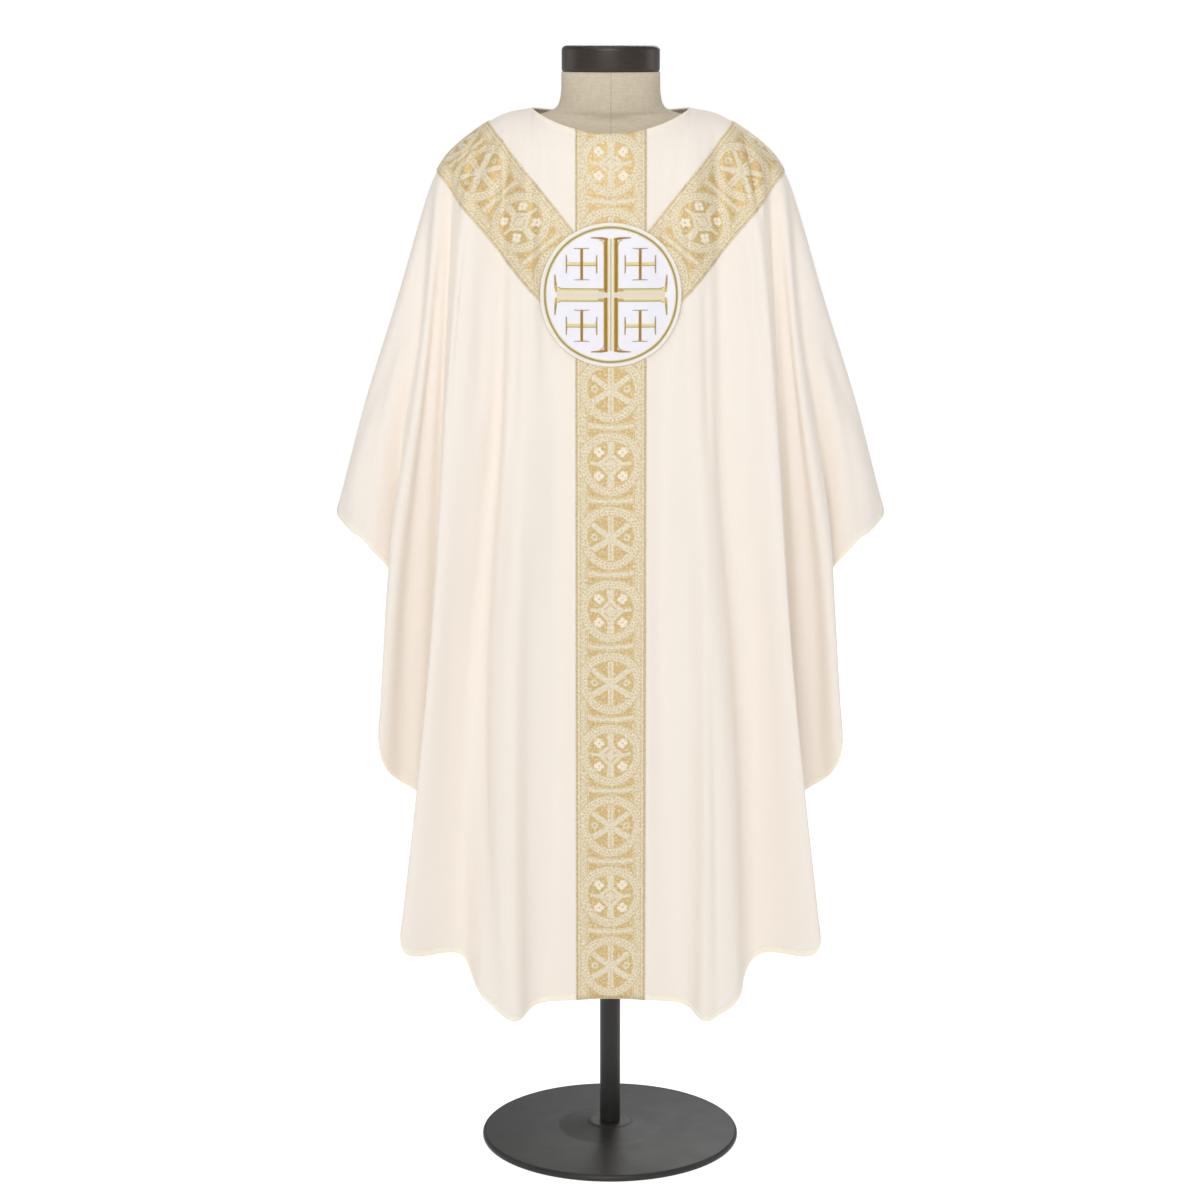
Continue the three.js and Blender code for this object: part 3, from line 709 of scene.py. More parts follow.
def thread(name, dark, light, roughness, metallic):
    """Rayon or gilt thread: each stitch is glossy along its curve, and no two are quite one tone."""
    material, tree, shader = new_material(name, Roughness=roughness, Metallic=metallic, Sheen_Weight=0.1)
    place = put(tree, "ShaderNodeTexCoord")
    tone = put(tree, "ShaderNodeTexNoise", {"Vector": place.outputs["Object"], "Scale": 700, "Detail": 2})
    twist = put(tree, "ShaderNodeTexNoise", {"Vector": place.outputs["Object"], "Scale": 2600, "Detail": 1})
    wire(tree, shader, Base_Color=blend(tree, tone.outputs[0], linear(dark), linear(light)))
    bump(tree, shader, twist, 0.3, 0.2)
    return material


def natural_linen():
    """Undyed linen stretched on the form: dry, slubby plain weave in grey-beige."""
    material, tree, shader = new_material(
        "natural_linen_cover", Roughness=0.93, Sheen_Weight=0.12, Sheen_Roughness=0.5)
    place = put(tree, "ShaderNodeTexCoord")
    mapped = put(tree, "ShaderNodeMapping", {"Vector": place.outputs["Object"], "Scale": (1, 1, 0.12)})
    lying = put(tree, "ShaderNodeMapping", {"Vector": place.outputs["Object"], "Scale": (0.12, 0.12, 1)})
    # Linen threads are 0.5 mm apart, drawn at about 1.4 mm.
    warp = put(tree, "ShaderNodeTexNoise", {"Vector": mapped, "Scale": 700, "Detail": 2})
    weft = put(tree, "ShaderNodeTexNoise", {"Vector": lying, "Scale": 700, "Detail": 2})
    tone = formula(tree, "0.5 * a + 0.5 * b", a=warp.outputs[0], b=weft.outputs[0])
    woven = blend(tree, tone, linear("#b3a58d"), linear("#e2d6c0"))
    # The cover is seamed down the middle, front and back.
    middle = put(tree, "ShaderNodeSeparateXYZ", {0: place.outputs["Object"]}).outputs[0]
    seam = formula(tree, "max(0, 1 - abs(x) * 1000 / 1.1) * 0.45", x=middle)
    wire(tree, shader, Base_Color=blend(tree, seam, woven, linear("#8d7f68")))
    bump(tree, shader, tone, 0.35, 0.6)
    return material


def stained_wood():
    """Beech turned and stained near black-brown under satin varnish, rubbed a little paler on its edges."""
    material, tree, shader = new_material(
        "dark_stained_beech", IOR=1.45, Coat_Weight=0.18, Coat_Roughness=0.25)
    place = put(tree, "ShaderNodeTexCoord")
    mapped = put(tree, "ShaderNodeMapping", {"Vector": place.outputs["Object"], "Scale": (1, 1, 9)})
    grain = put(tree, "ShaderNodeTexNoise", {"Vector": mapped, "Scale": 55, "Detail": 5, "Distortion": 0.4})
    edge = put(tree, "ShaderNodeNewGeometry")
    worn = formula(tree, "max(0, min(1, (p - 0.52) * 9)) * 0.5", p=edge.outputs["Pointiness"])
    brown = blend(tree, grain.outputs[0], linear("#1e1611"), linear("#3a2c22"))
    wire(tree, shader, Base_Color=blend(tree, worn, brown, linear("#7a6656")),
         Roughness=formula(tree, "0.32 + 0.18 * g", g=grain.outputs[0]))
    bump(tree, shader, grain, 0.15, 0.5)
    return material


def black_steel():
    """Steel tube and plate with a black powder coat: fine orange peel and a satin gloss."""
    material, tree, shader = new_material("black_powder_coated_steel", IOR=1.5)
    place = put(tree, "ShaderNodeTexCoord")
    peel = put(tree, "ShaderNodeTexNoise", {"Vector": place.outputs["Object"], "Scale": 900, "Detail": 2})
    dust = put(tree, "ShaderNodeTexNoise", {"Vector": place.outputs["Object"], "Scale": 30, "Detail": 4})
    wire(tree, shader, Base_Color=blend(tree, dust.outputs[0], linear("#1d1c1b"), linear("#2c2b29")),
         Roughness=formula(tree, "0.36 + 0.16 * d", d=dust.outputs[0]))
    bump(tree, shader, peel, 0.2, 0.2)
    return material


def studio_white():
    """Matt white floor that runs up into the white of the room behind it."""
    material, tree, shader = new_material("matt_white_floor", Roughness=0.9, Emission_Color=(1, 1, 1, 1))
    ray = put(tree, "ShaderNodeLightPath")
    wire(tree, shader, Emission_Strength=formula(tree, "0.24 + 0.4 * c", c=ray.outputs["Is Camera Ray"]))
    place = put(tree, "ShaderNodeTexCoord")
    soft = put(tree, "ShaderNodeTexNoise", {"Vector": place.outputs["Object"], "Scale": 2})
    wire(tree, shader, Base_Color=blend(tree, soft.outputs[0], linear("#fafafa"), linear("#fcfcfc")))
    return material


CREPE, HEM, BROCADE, SATIN = ivory_crepe(), hem_crepe(), gold_brocade(), white_satin()
# Dark and light gilt threads: partly their own tones, partly painted shade and painted sheen of one gilt
# thread.
DARK_GILT_PAINTED_SHADE = thread("dark_gilt_thread_painted_shade", "#a57a14", "#cfa034", 0.36, 0.15)
MIDDLE_GOLD = thread("gilt_thread", "#d8b03c", "#f0d46c", 0.34, 0.15)
LIGHT_GILT_PAINTED_SHEEN = thread("light_gilt_thread_painted_sheen", "#f3e386", "#fff8c4", 0.34, 0.08)
OLIVE_GOLD = thread("old_gilt_thread", "#a8924c", "#d2c07c", 0.36, 0.15)
CREAM = thread("cream_rayon_thread", "#fff8e8", "#fffdf6", 0.45, 0.0)
BEIGE = thread("beige_rayon_thread", "#f1e4cc", "#fcf3e0", 0.45, 0.0)
IVORY_THREAD = thread("ivory_sewing_thread", "#ece0c6", "#fbf2de", 0.6, 0.0)
GILT_SEWING = thread("old_gold_sewing_thread", "#c4a766", "#dcc48a", 0.5, 0.1)
LINEN, WOOD, STEEL = natural_linen(), stained_wood(), black_steel()


def finish(obj, material, slot):
    """Gives a piece its material and body; its slot is not used."""
    obj.data.materials.clear()
    obj.data.materials.append(material)
    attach(obj, "root")


# ---------- stitches ----------
def stitch_tree():
    """Threads that arch over a line of stitching, one every pitch, each half_width to either side of it."""
    tree = bpy.data.node_groups.new("stitches", "GeometryNodeTree")
    sockets = {"Geometry": "NodeSocketGeometry", "Pitch": "NodeSocketFloat", "Thread": "NodeSocketFloat",
               "Rise": "NodeSocketFloat", "Turn": "NodeSocketFloat", "Material": "NodeSocketMaterial"}
    for name, kind in sockets.items():
        tree.interface.new_socket(name, in_out="INPUT", socket_type=kind)
    tree.interface.new_socket("Geometry", in_out="OUTPUT", socket_type="NodeSocketGeometry")
    given = put(tree, "NodeGroupInput").outputs
    line = put(tree, "GeometryNodeMeshToCurve", {"Mesh": given["Geometry"]})
    line = put(tree, "GeometryNodeResampleCurve", {"Curve": line, "Length": given["Pitch"]}, mode="LENGTH")
    top = put(tree, "ShaderNodeCombineXYZ", {"Z": given["Rise"]})
    arch = put(tree, "GeometryNodeCurveQuadraticBezier",
               {"Resolution": 5, "Start": (-1, 0, 0), "Middle": top, "End": (1, 0, 0)})
    round_thread = put(tree, "GeometryNodeCurvePrimitiveCircle", {"Resolution": 5, "Radius": given["Thread"]})
    strand = put(tree, "GeometryNodeCurveToMesh",
                 {"Curve": arch, "Profile Curve": round_thread, "Fill Caps": True})
    normal = put(tree, "GeometryNodeInputNamedAttribute", {"Name": "outward"}, data_type="FLOAT_VECTOR")
    half = put(tree, "GeometryNodeInputNamedAttribute", {"Name": "half_width"}, data_type="FLOAT")
    axes = put(tree, "FunctionNodeAxesToRotation",
               {0: normal.outputs["Attribute"], 1: put(tree, "GeometryNodeInputTangent")},
               primary_axis="Z", secondary_axis="Y")
    angles = put(tree, "ShaderNodeCombineXYZ", {"Z": given["Turn"]})
    turn = put(tree, "FunctionNodeEulerToRotation", {0: angles})
    turned = put(tree, "FunctionNodeRotateRotation", {0: axes, 1: turn}, rotation_space="LOCAL")
    placed = put(tree, "GeometryNodeInstanceOnPoints", {
        "Points": line, "Instance": strand, "Rotation": turned,
        "Scale": put(tree, "ShaderNodeCombineXYZ", {"X": half.outputs["Attribute"], "Y": 1.0, "Z": 1.0})})
    real = put(tree, "GeometryNodeRealizeInstances", {"Geometry": placed})
    done = put(tree, "GeometryNodeSetMaterial", {"Geometry": real, "Material": given["Material"]})
    put(tree, "NodeGroupOutput", {"Geometry": done})
    return tree


STITCHES = stitch_tree()


def stitch(name, lines, material, slot, pitch, thread_radius, rise, along=False):
    """Plain mesh of stitches on lines, each a list of (point, outward, half width)."""
    points, edges, outward, widths = [], [], [], []
    for line in lines:
        edges += [(len(points) + n, len(points) + n + 1) for n in range(len(line) - 1)]
        for point, normal, width in line:
            points.append([c * MM for c in point])
            outward.append(normal)
            widths.append(width * MM)
    mesh = bpy.data.meshes.new(name)
    mesh.from_pydata(points, edges, [])
    mesh.attributes.new("outward", "FLOAT_VECTOR", "POINT").data.foreach_set("vector", np.ravel(outward))
    mesh.attributes.new("half_width", "FLOAT", "POINT").data.foreach_set("value", widths)
    obj = bpy.data.objects.new(name, mesh)
    bpy.context.collection.objects.link(obj)
    modifier = obj.modifiers.new("stitches", "NODES")
    modifier.node_group = STITCHES
    values = {"Pitch": pitch * MM, "Thread": thread_radius * MM, "Rise": rise * MM,
              "Turn": math.pi / 2 if along else 0.0, "Material": material}
    for item in STITCHES.interface.items_tree:
        if item.in_out == "INPUT" and item.name in values:
            modifier[item.identifier] = values[item.name]
    seen = obj.evaluated_get(bpy.context.evaluated_depsgraph_get())
    plain = bpy.data.meshes.new_from_object(seen)
    obj.modifiers.clear()
    obj.data = plain
    obj.data.shade_smooth()
    finish(obj, material, slot)
    return obj


# ---------- cloth ----------
front = make_sheet(FRONT, FRONT_CREASES)
back = make_sheet(BACK, BACK_CREASES)
fronts = thicken("chasuble_front", front, -CLOTH / 2, CLOTH / 2)
backs = thicken("chasuble_back", back, -CLOTH / 2, CLOTH / 2)
finish(fronts, CREPE, "ivory_crepe")
finish(backs, CREPE, "ivory_crepe")


def folded(half):
    """Whole section of a folded edge from its outer half, as (inward, outward) places that end at its tip."""
    return half + [(a, -b) for a, b in half[-2::-1]]


HEM_SECTION = folded([(8, 0.7), (7.6, 1.1), (6.6, 1.2), (1.2, 1.3), (0, 1.15), (-0.7, 0.6), (-0.9, 0)])
NECK_SECTION = folded([(9, 0.7), (8.6, 1.05), (7.6, 1.1), (1, 1.3), (0, 1.2), (-0.8, 0.7), (-1, 0)])
HEM_STITCH_INSET, HEM_STITCH_LIFT = 6.2, 1.2
HALF_STITCH = 1.3
SEWING = {"pitch": 3.4, "thread_radius": 0.22, "rise": 0.25, "along": True}


def edge_of(sheet, row, step):
    """The points of an edge row, the way in from it along the cloth, and its normals."""
    grid, normals = sheet["grid"], sheet["grid_normals"]
    return grid[:, row], unit(grid[:, row + step] - grid[:, row]), normals[:, row]


def hem_seams(edge, inward, normals):
    """Lines of stitching above the hem, left and right of the upright orphrey."""
    seam = edge + inward * HEM_STITCH_INSET + normals * HEM_STITCH_LIFT
    sides = [edge[:, 0] < -ORPHREY_HALF - 2, edge[:, 0] > ORPHREY_HALF + 2]
    return [[(point, normal, HALF_STITCH) for point, normal in zip(seam[on], normals[on])] for on in sides]


hems, seams = {}, []
for side, sheet in (("front", front), ("back", back)):
    edge, inward, normals = edge_of(sheet, -1, -2)
    hems[side] = edge_fold(f"hem_{side}", edge, inward, normals, HEM_SECTION)
    finish(hems[side], HEM, "ivory_crepe")
    seams += hem_seams(edge, inward, normals)
    edge, inward, normals = edge_of(sheet, 0, 2)
    neck = np.abs(edge[:, 0]) <= NECK_HALF_WIDTH
    facing = edge_fold(f"neck_facing_{side}", edge[neck], inward[neck], normals[neck], NECK_SECTION)
    finish(facing, HEM, "ivory_crepe")
stitch("hem_stitches", seams, IVORY_THREAD, "ivory_crepe", **SEWING)


# ---------- orphreys ----------
def down_the_middle(sheet, drop):
    """Distance down the middle of the cloth to a drop below the neck point."""
    middle = sheet["grid"][len(sheet["grid"]) // 2]
    return np.interp(drop, NECK_HEIGHT - middle[:, 2], run_along(middle))


WHEEL_AT = 381                   # drop to the middle of a wheel figure on an upright orphrey
BAND_MIDDLE = 210                # half width where the middle of a slanting orphrey meets the shoulder seam
BAND_START = 20                  # place in the brocade's repeat at a slanting orphrey's lower end
MIDDLE_STRIP = 14                # half width of the strip that a slanting orphrey's length is measured on
MIDDLE_STOPS = 60                # places along that strip
STITCH_INSET, STITCH_PITCH = 1.6, 3.6


def upright(name, sheet):
    """The upright orphrey of a panel, and the part of the panel under it."""
    strip = clip(sheet, [(1, 0, ORPHREY_HALF), (-1, 0, ORPHREY_HALF)])
    down = strip["flat"][:, 1] + CELL - down_the_middle(sheet, WHEEL_AT)
    uv = np.stack([strip["points"][:, 0], down], axis=-1)
    piece = thicken(name, strip, OVER_CLOTH, OVER_CLOTH + TRIM, uv)
    finish(piece, BROCADE, "gold_brocade")
    return piece, strip


def slanting(name, sheet, sign):
    """A slanting orphrey of a panel, and the part of the panel under it."""
    slope = math.radians(BAND_SLOPE)
    middle_z = NECK_HEIGHT - seam_drop(BAND_MIDDLE)[0]
    normal = (sign * math.sin(slope), -math.cos(slope))
    level = math.sin(slope) * BAND_MIDDLE - math.cos(slope) * middle_z
    strip = clip(sheet, [
        (*normal, level + BAND_WIDTH / 2),
        (-normal[0], -normal[1], BAND_WIDTH / 2 - level),
        (-sign, 0, -ORPHREY_HALF - SEAM_GAP),
    ])
    x, y, z = strip["points"].T
    across = normal[0] * x + normal[1] * z - level
    along = sign * x * math.cos(slope) + z * math.sin(slope)
    # Length along the band is measured on the cloth, because it turns back over the shoulder.
    stops = np.linspace(along.min(), along.max(), MIDDLE_STOPS)
    near = np.abs(across) < MIDDLE_STRIP
    order = np.argsort(along[near])
    depth = np.interp(stops, along[near][order], y[near][order])
    length = run_along(np.stack([stops, depth], axis=-1))
    uv = np.stack([across, np.interp(along, stops, length) + BAND_START], axis=-1)
    piece = thicken(name, strip, OVER_CLOTH, OVER_CLOTH + TRIM, uv)
    finish(piece, BROCADE, "gold_brocade")
    return piece, strip


orphreys = {}
for side, sheet in (("front", front), ("back", back)):
    orphreys[f"orphrey_{side}"] = upright(f"brocade_orphrey_{side}", sheet)
    orphreys[f"orphrey_{side}_left"] = slanting(f"brocade_orphrey_{side}_left", sheet, 1)
    orphreys[f"orphrey_{side}_right"] = slanting(f"brocade_orphrey_{side}_right", sheet, -1)


def tree_of(sheet):
    return BVHTree.FromPolygons(sheet["points"].tolist(), sheet["faces"])


def on_cloth(tree, facing, x, z, lift):
    """Where the cloth is at (x, z), lifted outwards, and its normal there."""
    place, normal, _, _ = tree.ray_cast(Vector((x, facing * 1000, z)), Vector((0, -facing, 0)))
    if normal.y * facing < 0:
        normal = -normal
    return place + normal * lift, normal


def inset_line(strip, inset):
    """The line of stitching that runs just inside the edges of a band."""
    after = dict(boundary(strip["faces"]))
    loop = [next(iter(after))]
    while after[loop[-1]] != loop[0]:
        loop.append(after[loop[-1]])
    ring = strip["points"][loop]
    normals = strip["normals"][loop]
    ahead = unit(np.roll(ring, -3, axis=0) - np.roll(ring, 3, axis=0))
    inward = unit(np.cross(normals, ahead))
    if np.sum((strip["points"].mean(axis=0) - ring) * inward) < 0:
        inward = -inward
    seam = ring + inward * inset + normals * (OVER_CLOTH + TRIM)
    line = [(point, normal, HALF_STITCH) for point, normal in zip(seam, normals)]
    return line + line[:1]


stitch("orphrey_stitches", [inset_line(strip, STITCH_INSET) for _, strip in orphreys.values()],
       GILT_SEWING, "gold_brocade", **{**SEWING, "pitch": STITCH_PITCH})

# ---------- roundel ----------
ROUNDEL_HEIGHT = NECK_HEIGHT - ROUNDEL_DROP
GROUND_RADIUS = ROUNDEL_RADIUS - RIM_WIDTH - SEAM_GAP
RINGS, TURNS = 44, 180
SMOOTHING_ROUNDS = 30
front_tree = tree_of(front)


def roundel_sheet():
    """Polar grid over the front, with the cloth's small bends smoothed out of it."""
    radii = np.linspace(0, ROUNDEL_RADIUS + 2, RINGS)
    turns = np.arange(TURNS) * 2 * math.pi / TURNS
    depth = np.array([[on_cloth(front_tree, -1, r * math.cos(t), ROUNDEL_HEIGHT + r * math.sin(t), 0)[0].y
                       for t in turns] for r in radii])
    soft = depth.copy()
    for _ in range(SMOOTHING_ROUNDS):
        soft[1:-1] = (soft[:-2] + soft[2:] + np.roll(soft, 1, 1)[1:-1] + np.roll(soft, -1, 1)[1:-1]) / 4
        soft[0] = soft[1].mean()
        soft = np.minimum(soft, depth)
    x = radii[:, None] * np.cos(turns)
    z = ROUNDEL_HEIGHT + radii[:, None] * np.sin(turns)
    grid = np.stack([x, soft, z], axis=-1)
    at = np.arange(RINGS * TURNS).reshape(RINGS, TURNS)
    beside = np.roll(at, -1, axis=1)
    faces = np.stack([at[:-1], beside[:-1], beside[1:], at[1:]], axis=-1).reshape(-1, 4).tolist()
    normals = unit(np.cross(np.roll(grid, -1, 1) - np.roll(grid, 1, 1), np.gradient(grid, axis=0)))
    normals *= np.where(normals[..., 1:2] > 0, -1, 1)
    normals[0] = unit(normals[1].mean(axis=0))
    return grid, normals, faces, radii


disc, disc_normals, disc_faces, disc_radii = roundel_sheet()
disc_tree = BVHTree.FromPolygons(disc.reshape(-1, 3).tolist(), disc_faces)


def ground():
    """The satin disc: the polar grid up to the disc's radius, with one point in its middle."""
    inside = int(np.searchsorted(disc_radii, GROUND_RADIUS))
    middle = np.array([0, 0, ROUNDEL_HEIGHT])
    grid = disc[:inside + 1].copy()
    trim = np.array([GROUND_RADIUS / disc_radii[inside], 1, GROUND_RADIUS / disc_radii[inside]])
    grid[inside] = middle + (grid[inside] - middle) * trim
    at = 1 + np.arange(inside * TURNS).reshape(inside, TURNS)
    beside = np.roll(at, -1, axis=1)
    faces = [[0, b, a] for a, b in zip(at[0], beside[0])]
    faces += np.stack([at[:-1], beside[:-1], beside[1:], at[1:]], axis=-1).reshape(-1, 4).tolist()
    sheet = {
        "points": np.vstack([grid[0, 0], grid[1:].reshape(-1, 3)]),
        "normals": np.vstack([disc_normals[0, 0], disc_normals[1:inside + 1].reshape(-1, 3)]),
        "faces": faces,
    }
    flat = (sheet["points"] - middle)[:, [0, 2]]
    piece = thicken("roundel_satin", sheet, OVER_TRIM, OVER_TRIM + ROUNDEL_WALL, flat)
    face_outwards(piece)
    return piece


satin_ground = ground()
finish(satin_ground, SATIN, "white_satin")
ON_SATIN = OVER_TRIM + ROUNDEL_WALL
STROKE_STEP = 2                  # spacing of the places that a stroke is laid through


def stroke(places, lift=ON_SATIN):
    """A line of satin stitch on the roundel through (x, z, width) places measured from its middle."""
    line = []
    for here, after in zip(places, places[1:]):
        steps = max(1, int(math.dist(here[:2], after[:2]) / STROKE_STEP))
        line += [[a + (b - a) * s / steps for a, b in zip(here, after)] for s in range(steps)]
    line.append(places[-1])
    return [(*on_cloth(disc_tree, -1, x, ROUNDEL_HEIGHT + z, lift), width / 2) for x, z, width in line]


RING_STEPS = 240


def ring(radius, width, lift=ON_SATIN):
    """A round line of satin stitch."""
    turns = [2 * math.pi * s / RING_STEPS for s in range(RING_STEPS + 1)]
    return stroke([(radius * math.cos(t), radius * math.sin(t), width) for t in turns], lift)


SIGNS = {"once": [(1, 1)], "sideways": [(1, 1), (-1, 1)], "up and down": [(1, 1), (1, -1)],
         "four ways": [(1, 1), (-1, 1), (1, -1), (-1, -1)]}
# Strokes of the embroidery: thread, how the stroke is mirrored, and its (x, z, width) places.
# The main cross has paired bars with pale edges round a channel. The upright ones are dark, and the level
# ones are light with dark inner ends. All end in halved serifs that swell where they join the bars.
# The dark upright bars and light level bars are partly the threads' own tones and partly painted shade and
# painted sheen of one gilt thread, whose stitches lie level on the upright bars and upright on the level
# ones.
MAIN_CROSS = [
    ("dark", "four ways", [(7.0, 4.0, 4.2), (7.0, 76, 4.2)]),
    ("middle", "four ways", [(9.5, 8.6, 1.2), (9.5, 68, 1.2), (11.2, 73.2, 1.8), (15.5, 75.0, 1.0)]),
    ("dark", "four ways", [(4.8, 75.8, 3.2), (12, 77, 3.4), (17, 77.4, 2.6), (27, 77.8, 1.4)]),
    ("light", "four ways", [(4.1, 3.8, 1.4), (4.1, 77, 1.4)]),
    ("cream", "four ways", [(2.0, 0.4, 2.6), (2.0, 76, 2.6)]),
    ("light", "four ways", [(17, 6.2, 3.2), (76, 6.2, 3.2)]),
    ("middle", "four ways", [(9.8, 6.2, 3.6), (17, 6.2, 3.2)]),
    ("olive", "four ways", [(10, 8.5, 1.1), (68, 8.5, 1.1), (72, 10.2, 1.6)]),
    ("middle", "four ways", [(75, 4.4, 3.8), (76, 13, 3.6)]),
    ("olive", "four ways", [(76, 13, 3.6), (76.5, 19, 2.8), (77, 27, 1.8)]),
    ("olive", "once", [(0, -76, 1.0), (0, 76, 1.0)]),
    ("beige", "sideways", [(3.5, 0, 7.8), (74, 0, 7.8)]),
]
SMALL_CROSS = [
    ("dark", "once", [(0, -20.5, 3.8), (0, 20.5, 3.8)]),
    ("olive", "up and down", [(-10, 21.4, 1.0), (0, 21, 1.6), (10, 21.4, 1.0)]),
    ("light", "sideways", [(2.4, 0.8, 4.0), (19.4, 0.8, 4.0)]),
    ("olive", "sideways", [(2.2, -1.9, 1.0), (19.4, -1.9, 1.0)]),
    ("olive", "sideways", [(20.6, -12, 1.6), (20.2, 0, 2.4), (20.6, 12, 1.6)]),
]
SMALL_CROSSES = [(-40, -42), (-40, 42), (40, -42), (40, 42)]
# thread, radius and width of the round lines inside the border
ROUND_LINES = [("olive", 92.0, 2.6), ("light", 90.0, 1.4)]
strokes = {"dark": [], "middle": [], "light": [], "olive": [], "cream": [], "beige": []}


def embroider(cross, x, z):
    """Adds the strokes of a cross whose middle is at (x, z) on the roundel."""
    for thread_name, mirrored, places in cross:
        for sideways, upwards in SIGNS[mirrored]:
            mirror = [(x + sideways * a, z + upwards * b, width) for a, b, width in places]
            strokes[thread_name].append(stroke(mirror))


embroider(MAIN_CROSS, 0, 0)
for x, z in SMALL_CROSSES:
    embroider(SMALL_CROSS, x, z)
for thread_name, radius, width in ROUND_LINES:
    strokes[thread_name].append(ring(radius, width))

# Threads lie 0.4 mm apart in the real embroidery and are drawn at 0.85 mm.
THREAD_PITCH, THREAD_RADIUS = 0.85, 0.42
# piece, strokes, thread, rise of the stitches
EMBROIDERY = [
    ("cross_dark_gilt_painted_shade", "dark", DARK_GILT_PAINTED_SHADE, 1.1),
    ("cross_middle_gilt", "middle", MIDDLE_GOLD, 1.0),
    ("cross_light_gilt_painted_sheen", "light", LIGHT_GILT_PAINTED_SHEEN, 0.9),
    ("cross_old_gilt", "olive", OLIVE_GOLD, 0.9),
    ("cross_cream_fill", "cream", CREAM, 0.5),
    ("cross_beige_fill", "beige", BEIGE, 0.5),
]
embroidery = [
    stitch(name, strokes[kind], material, "white_satin", THREAD_PITCH, THREAD_RADIUS, rise)
    for name, kind, material, rise in EMBROIDERY
]
BORDER_PITCH, BORDER_THREAD_RADIUS = 0.9, 0.5
BORDER_SPREAD, BORDER_LIFT = 0.8, 0.8
border_line = ring(ROUNDEL_RADIUS - RIM_WIDTH / 2, RIM_WIDTH + BORDER_SPREAD, OVER_TRIM + BORDER_LIFT)
rim = stitch("roundel_border_satin_stitch", [border_line], CREAM, "ivory_cord", BORDER_PITCH,
             BORDER_THREAD_RADIUS, RIM_HEIGHT)

# ---------- dress form ----------
FORM_TURNS = 120


def form_rings():
    """The form's rings from top to bottom. Its shoulders follow the cloth's seam, just under it."""
    below = CLOTH / 2 + CREST_GAP
    crest = []
    for i in range(CREST_RINGS):
        share = i / (CREST_RINGS - 1)
        x, y, thin = (a + (b - a) * share for a, b in zip(CREST_FROM, CREST_TO))
        fall = math.atan(seam_drop(x + 0.5)[0] - seam_drop(x - 0.5)[0])
        crest.append((seam_drop(x)[0] + below * math.cos(fall), x - below * math.sin(fall), y, thin))
    return [*NECK_RINGS, *crest, *TORSO_RINGS]


def form_cover():
    """The form's linen cover: its rings joined smoothly, closed flat at the top and the bottom."""
    rings = np.array(form_rings())
    rings = smooth(range(len(rings)), rings, np.linspace(0, len(rings) - 1, 4 * len(rings) - 3))
    turns = np.linspace(0, 2 * math.pi, FORM_TURNS, endpoint=False)
    points = []
    for drop, x, y, thin in rings:
        depth = np.sign(np.sin(turns)) * np.abs(np.sin(turns)) ** (2 * thin)
        points.append(np.stack([x * np.cos(turns), y * depth, np.full(FORM_TURNS, NECK_HEIGHT - drop)], -1))
    at = np.arange(len(rings) * FORM_TURNS).reshape(-1, FORM_TURNS)
    beside = np.roll(at, -1, axis=1)
    walls = np.stack([at[:-1], at[1:], beside[1:], beside[:-1]], axis=-1).reshape(-1, 4)
    faces = [*walls.tolist(), at[0].tolist(), at[-1, ::-1].tolist()]
    obj = add_mesh("form_linen_cover", np.concatenate(points), faces)
    face_outwards(obj)
    return obj


cover = form_cover()
finish(cover, LINEN, "natural_linen")
r, h = NECK_CAP_RADIUS, NECK_CAP_HEIGHT
cap_profile = [(0, 0), (r - 1, 0), (r, 3), (r, h - 5), (r - 2.5, h - 1.5), (r - 7, h), (0, h)]
neck_top, neck_x, neck_y, _ = NECK_RINGS[0]
cap = lathe("form_wooden_cap", cap_profile, 2.2, 128, NECK_HEIGHT - neck_top + SEAM_GAP, neck_y / neck_x)
finish(cap, WOOD, "dark_stained_wood")
torso_bottom = NECK_HEIGHT - TORSO_RINGS[-1][0]
r, h = POLE_RADIUS, torso_bottom - 2 * SEAM_GAP - BASE_HEIGHT
pole = lathe("stand_pole", [(0, 0), (r, 0), (r, h), (0, h)], 1, 64, BASE_HEIGHT + SEAM_GAP)
r, h = BASE_RADIUS, BASE_HEIGHT
base_profile = [(0, 0), (r - 1, 0), (r, 2), (r, 6), (r - 3, 9), (r * 0.4, 13), (34, h - 2), (30, h), (0, h)]
base = lathe("stand_base", base_profile, 2.5, 160, 0)
for obj in (pole, base):
    finish(obj, STEEL, "black_steel")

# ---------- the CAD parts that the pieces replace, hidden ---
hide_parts("front")
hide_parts("back")
for node, (piece, _) in orphreys.items():
    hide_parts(node)
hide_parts("roundel")
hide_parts("roundel_rim")
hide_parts("form_torso")
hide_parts("form_neck_cap")
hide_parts("form_pole")
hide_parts("form_base")

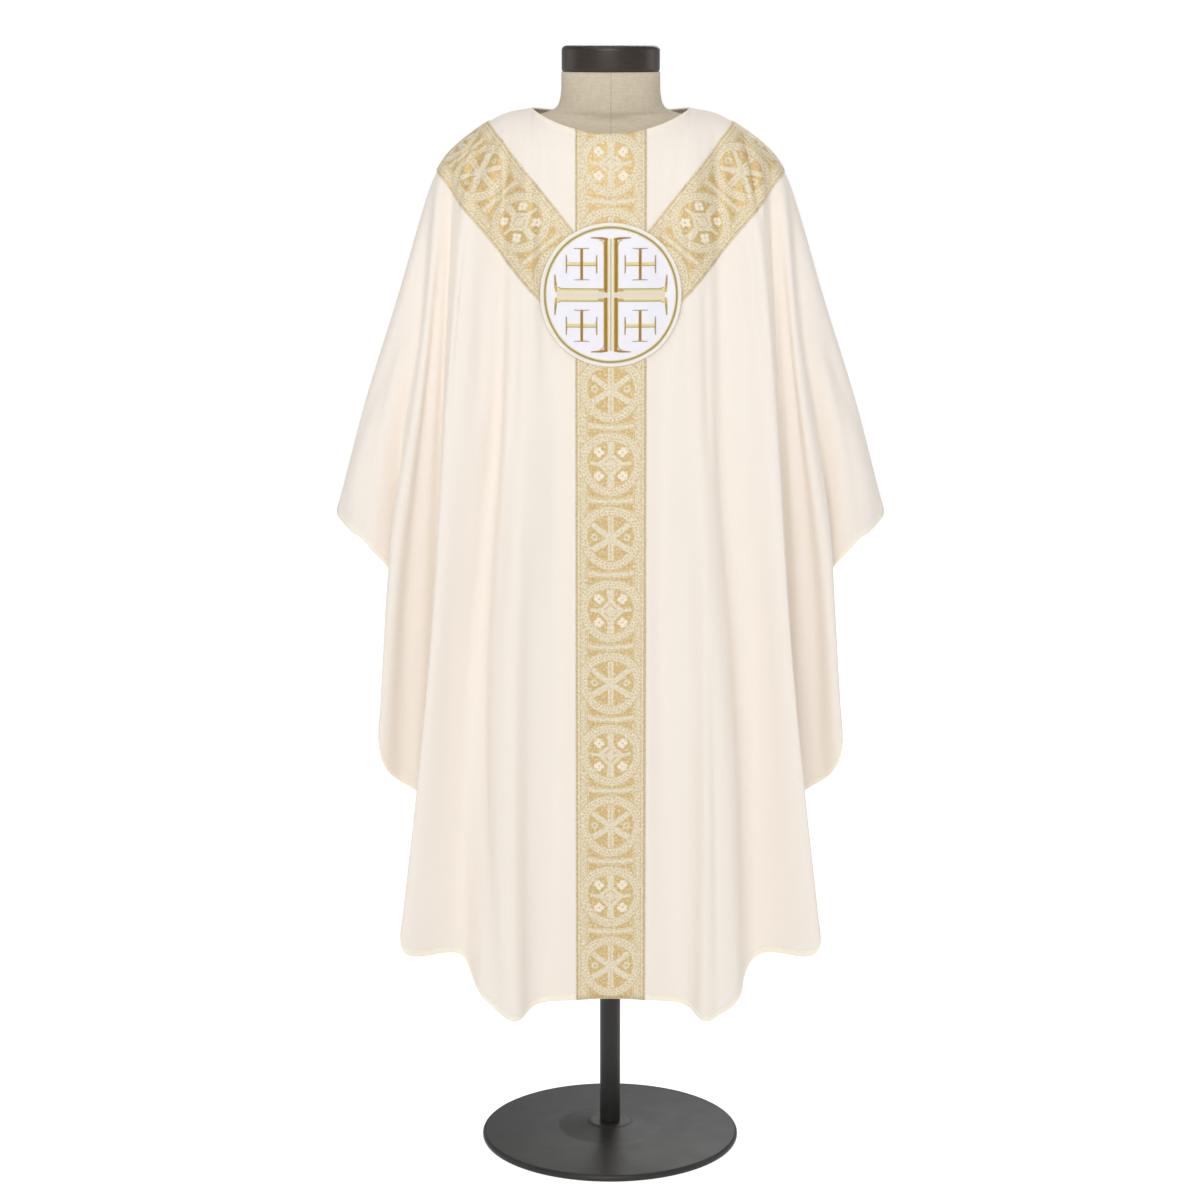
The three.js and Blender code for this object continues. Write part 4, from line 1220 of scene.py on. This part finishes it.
# ---------- studio ----------
FLOOR_REACH = 200_000
FLOOR_Z = -0.5                   # just under the base, so that the two never lie in one plane
floor_corners = [(x * FLOOR_REACH, y * FLOOR_REACH, FLOOR_Z) for x, y in ((-1, -1), (1, -1), (1, 1), (-1, 1))]
floor = add_mesh("studio_floor", floor_corners, [[0, 1, 2, 3]])
floor.data.materials.append(studio_white())

world = bpy.data.worlds.new("soft_white_room")
bpy.context.scene.world = world
world.use_nodes = True
world.node_tree.nodes.clear()
lit = put(world.node_tree, "ShaderNodeLightPath")
strength = formula(world.node_tree, "0.38 + 0.75 * c", c=lit.outputs["Is Camera Ray"])
sky = put(world.node_tree, "ShaderNodeBackground", {"Color": (1, 1, 1, 1), "Strength": strength})
put(world.node_tree, "ShaderNodeOutputWorld", {"Surface": sky})


def softbox(name, place, target, size, watts):
    """Square light, in metres, that faces its target."""
    light = bpy.data.lights.new(name, "AREA")
    light.shape, light.size, light.energy = "SQUARE", size, watts
    obj = bpy.data.objects.new(name, light)
    bpy.context.collection.objects.link(obj)
    obj.location = place
    obj.rotation_euler = (Vector(target) - Vector(place)).to_track_quat("-Z", "Y").to_euler()


softbox("key_softbox", (-0.45, -4.5, 3.3), (0, 0, 0.85), 2.2, 92)
softbox("left_softbox", (-3.4, 0.4, 1.9), (0, 0, 0.9), 1.8, 10)
softbox("right_softbox", (3.4, 0.4, 1.9), (0, 0, 0.9), 1.8, 13)
softbox("rear_softbox", (0.8, 4.0, 3.0), (0, 0, 0.9), 2.2, 36)
softbox("overhead_softbox", (-0.3, -1.2, 4.5), (0, 0, 1.3), 2.4, 24)

SENSOR = 36
FOCAL_PIXELS, FRAME_PIXELS = 2965.7, 1200
CAMERA_TILT = 11.26              # degrees below level
camera_data = bpy.data.cameras.new("camera")
camera_data.sensor_width = SENSOR
camera_data.lens = FOCAL_PIXELS / FRAME_PIXELS * SENSOR
camera_data.clip_end = 500
camera = bpy.data.objects.new("camera", camera_data)
bpy.context.collection.objects.link(camera)
camera.location = (-0.015, -4.2, 1.65)
camera.rotation_euler = (math.radians(90 - CAMERA_TILT), 0, 0)
bpy.context.scene.camera = camera
bpy.context.scene.view_settings.view_transform = "Standard"
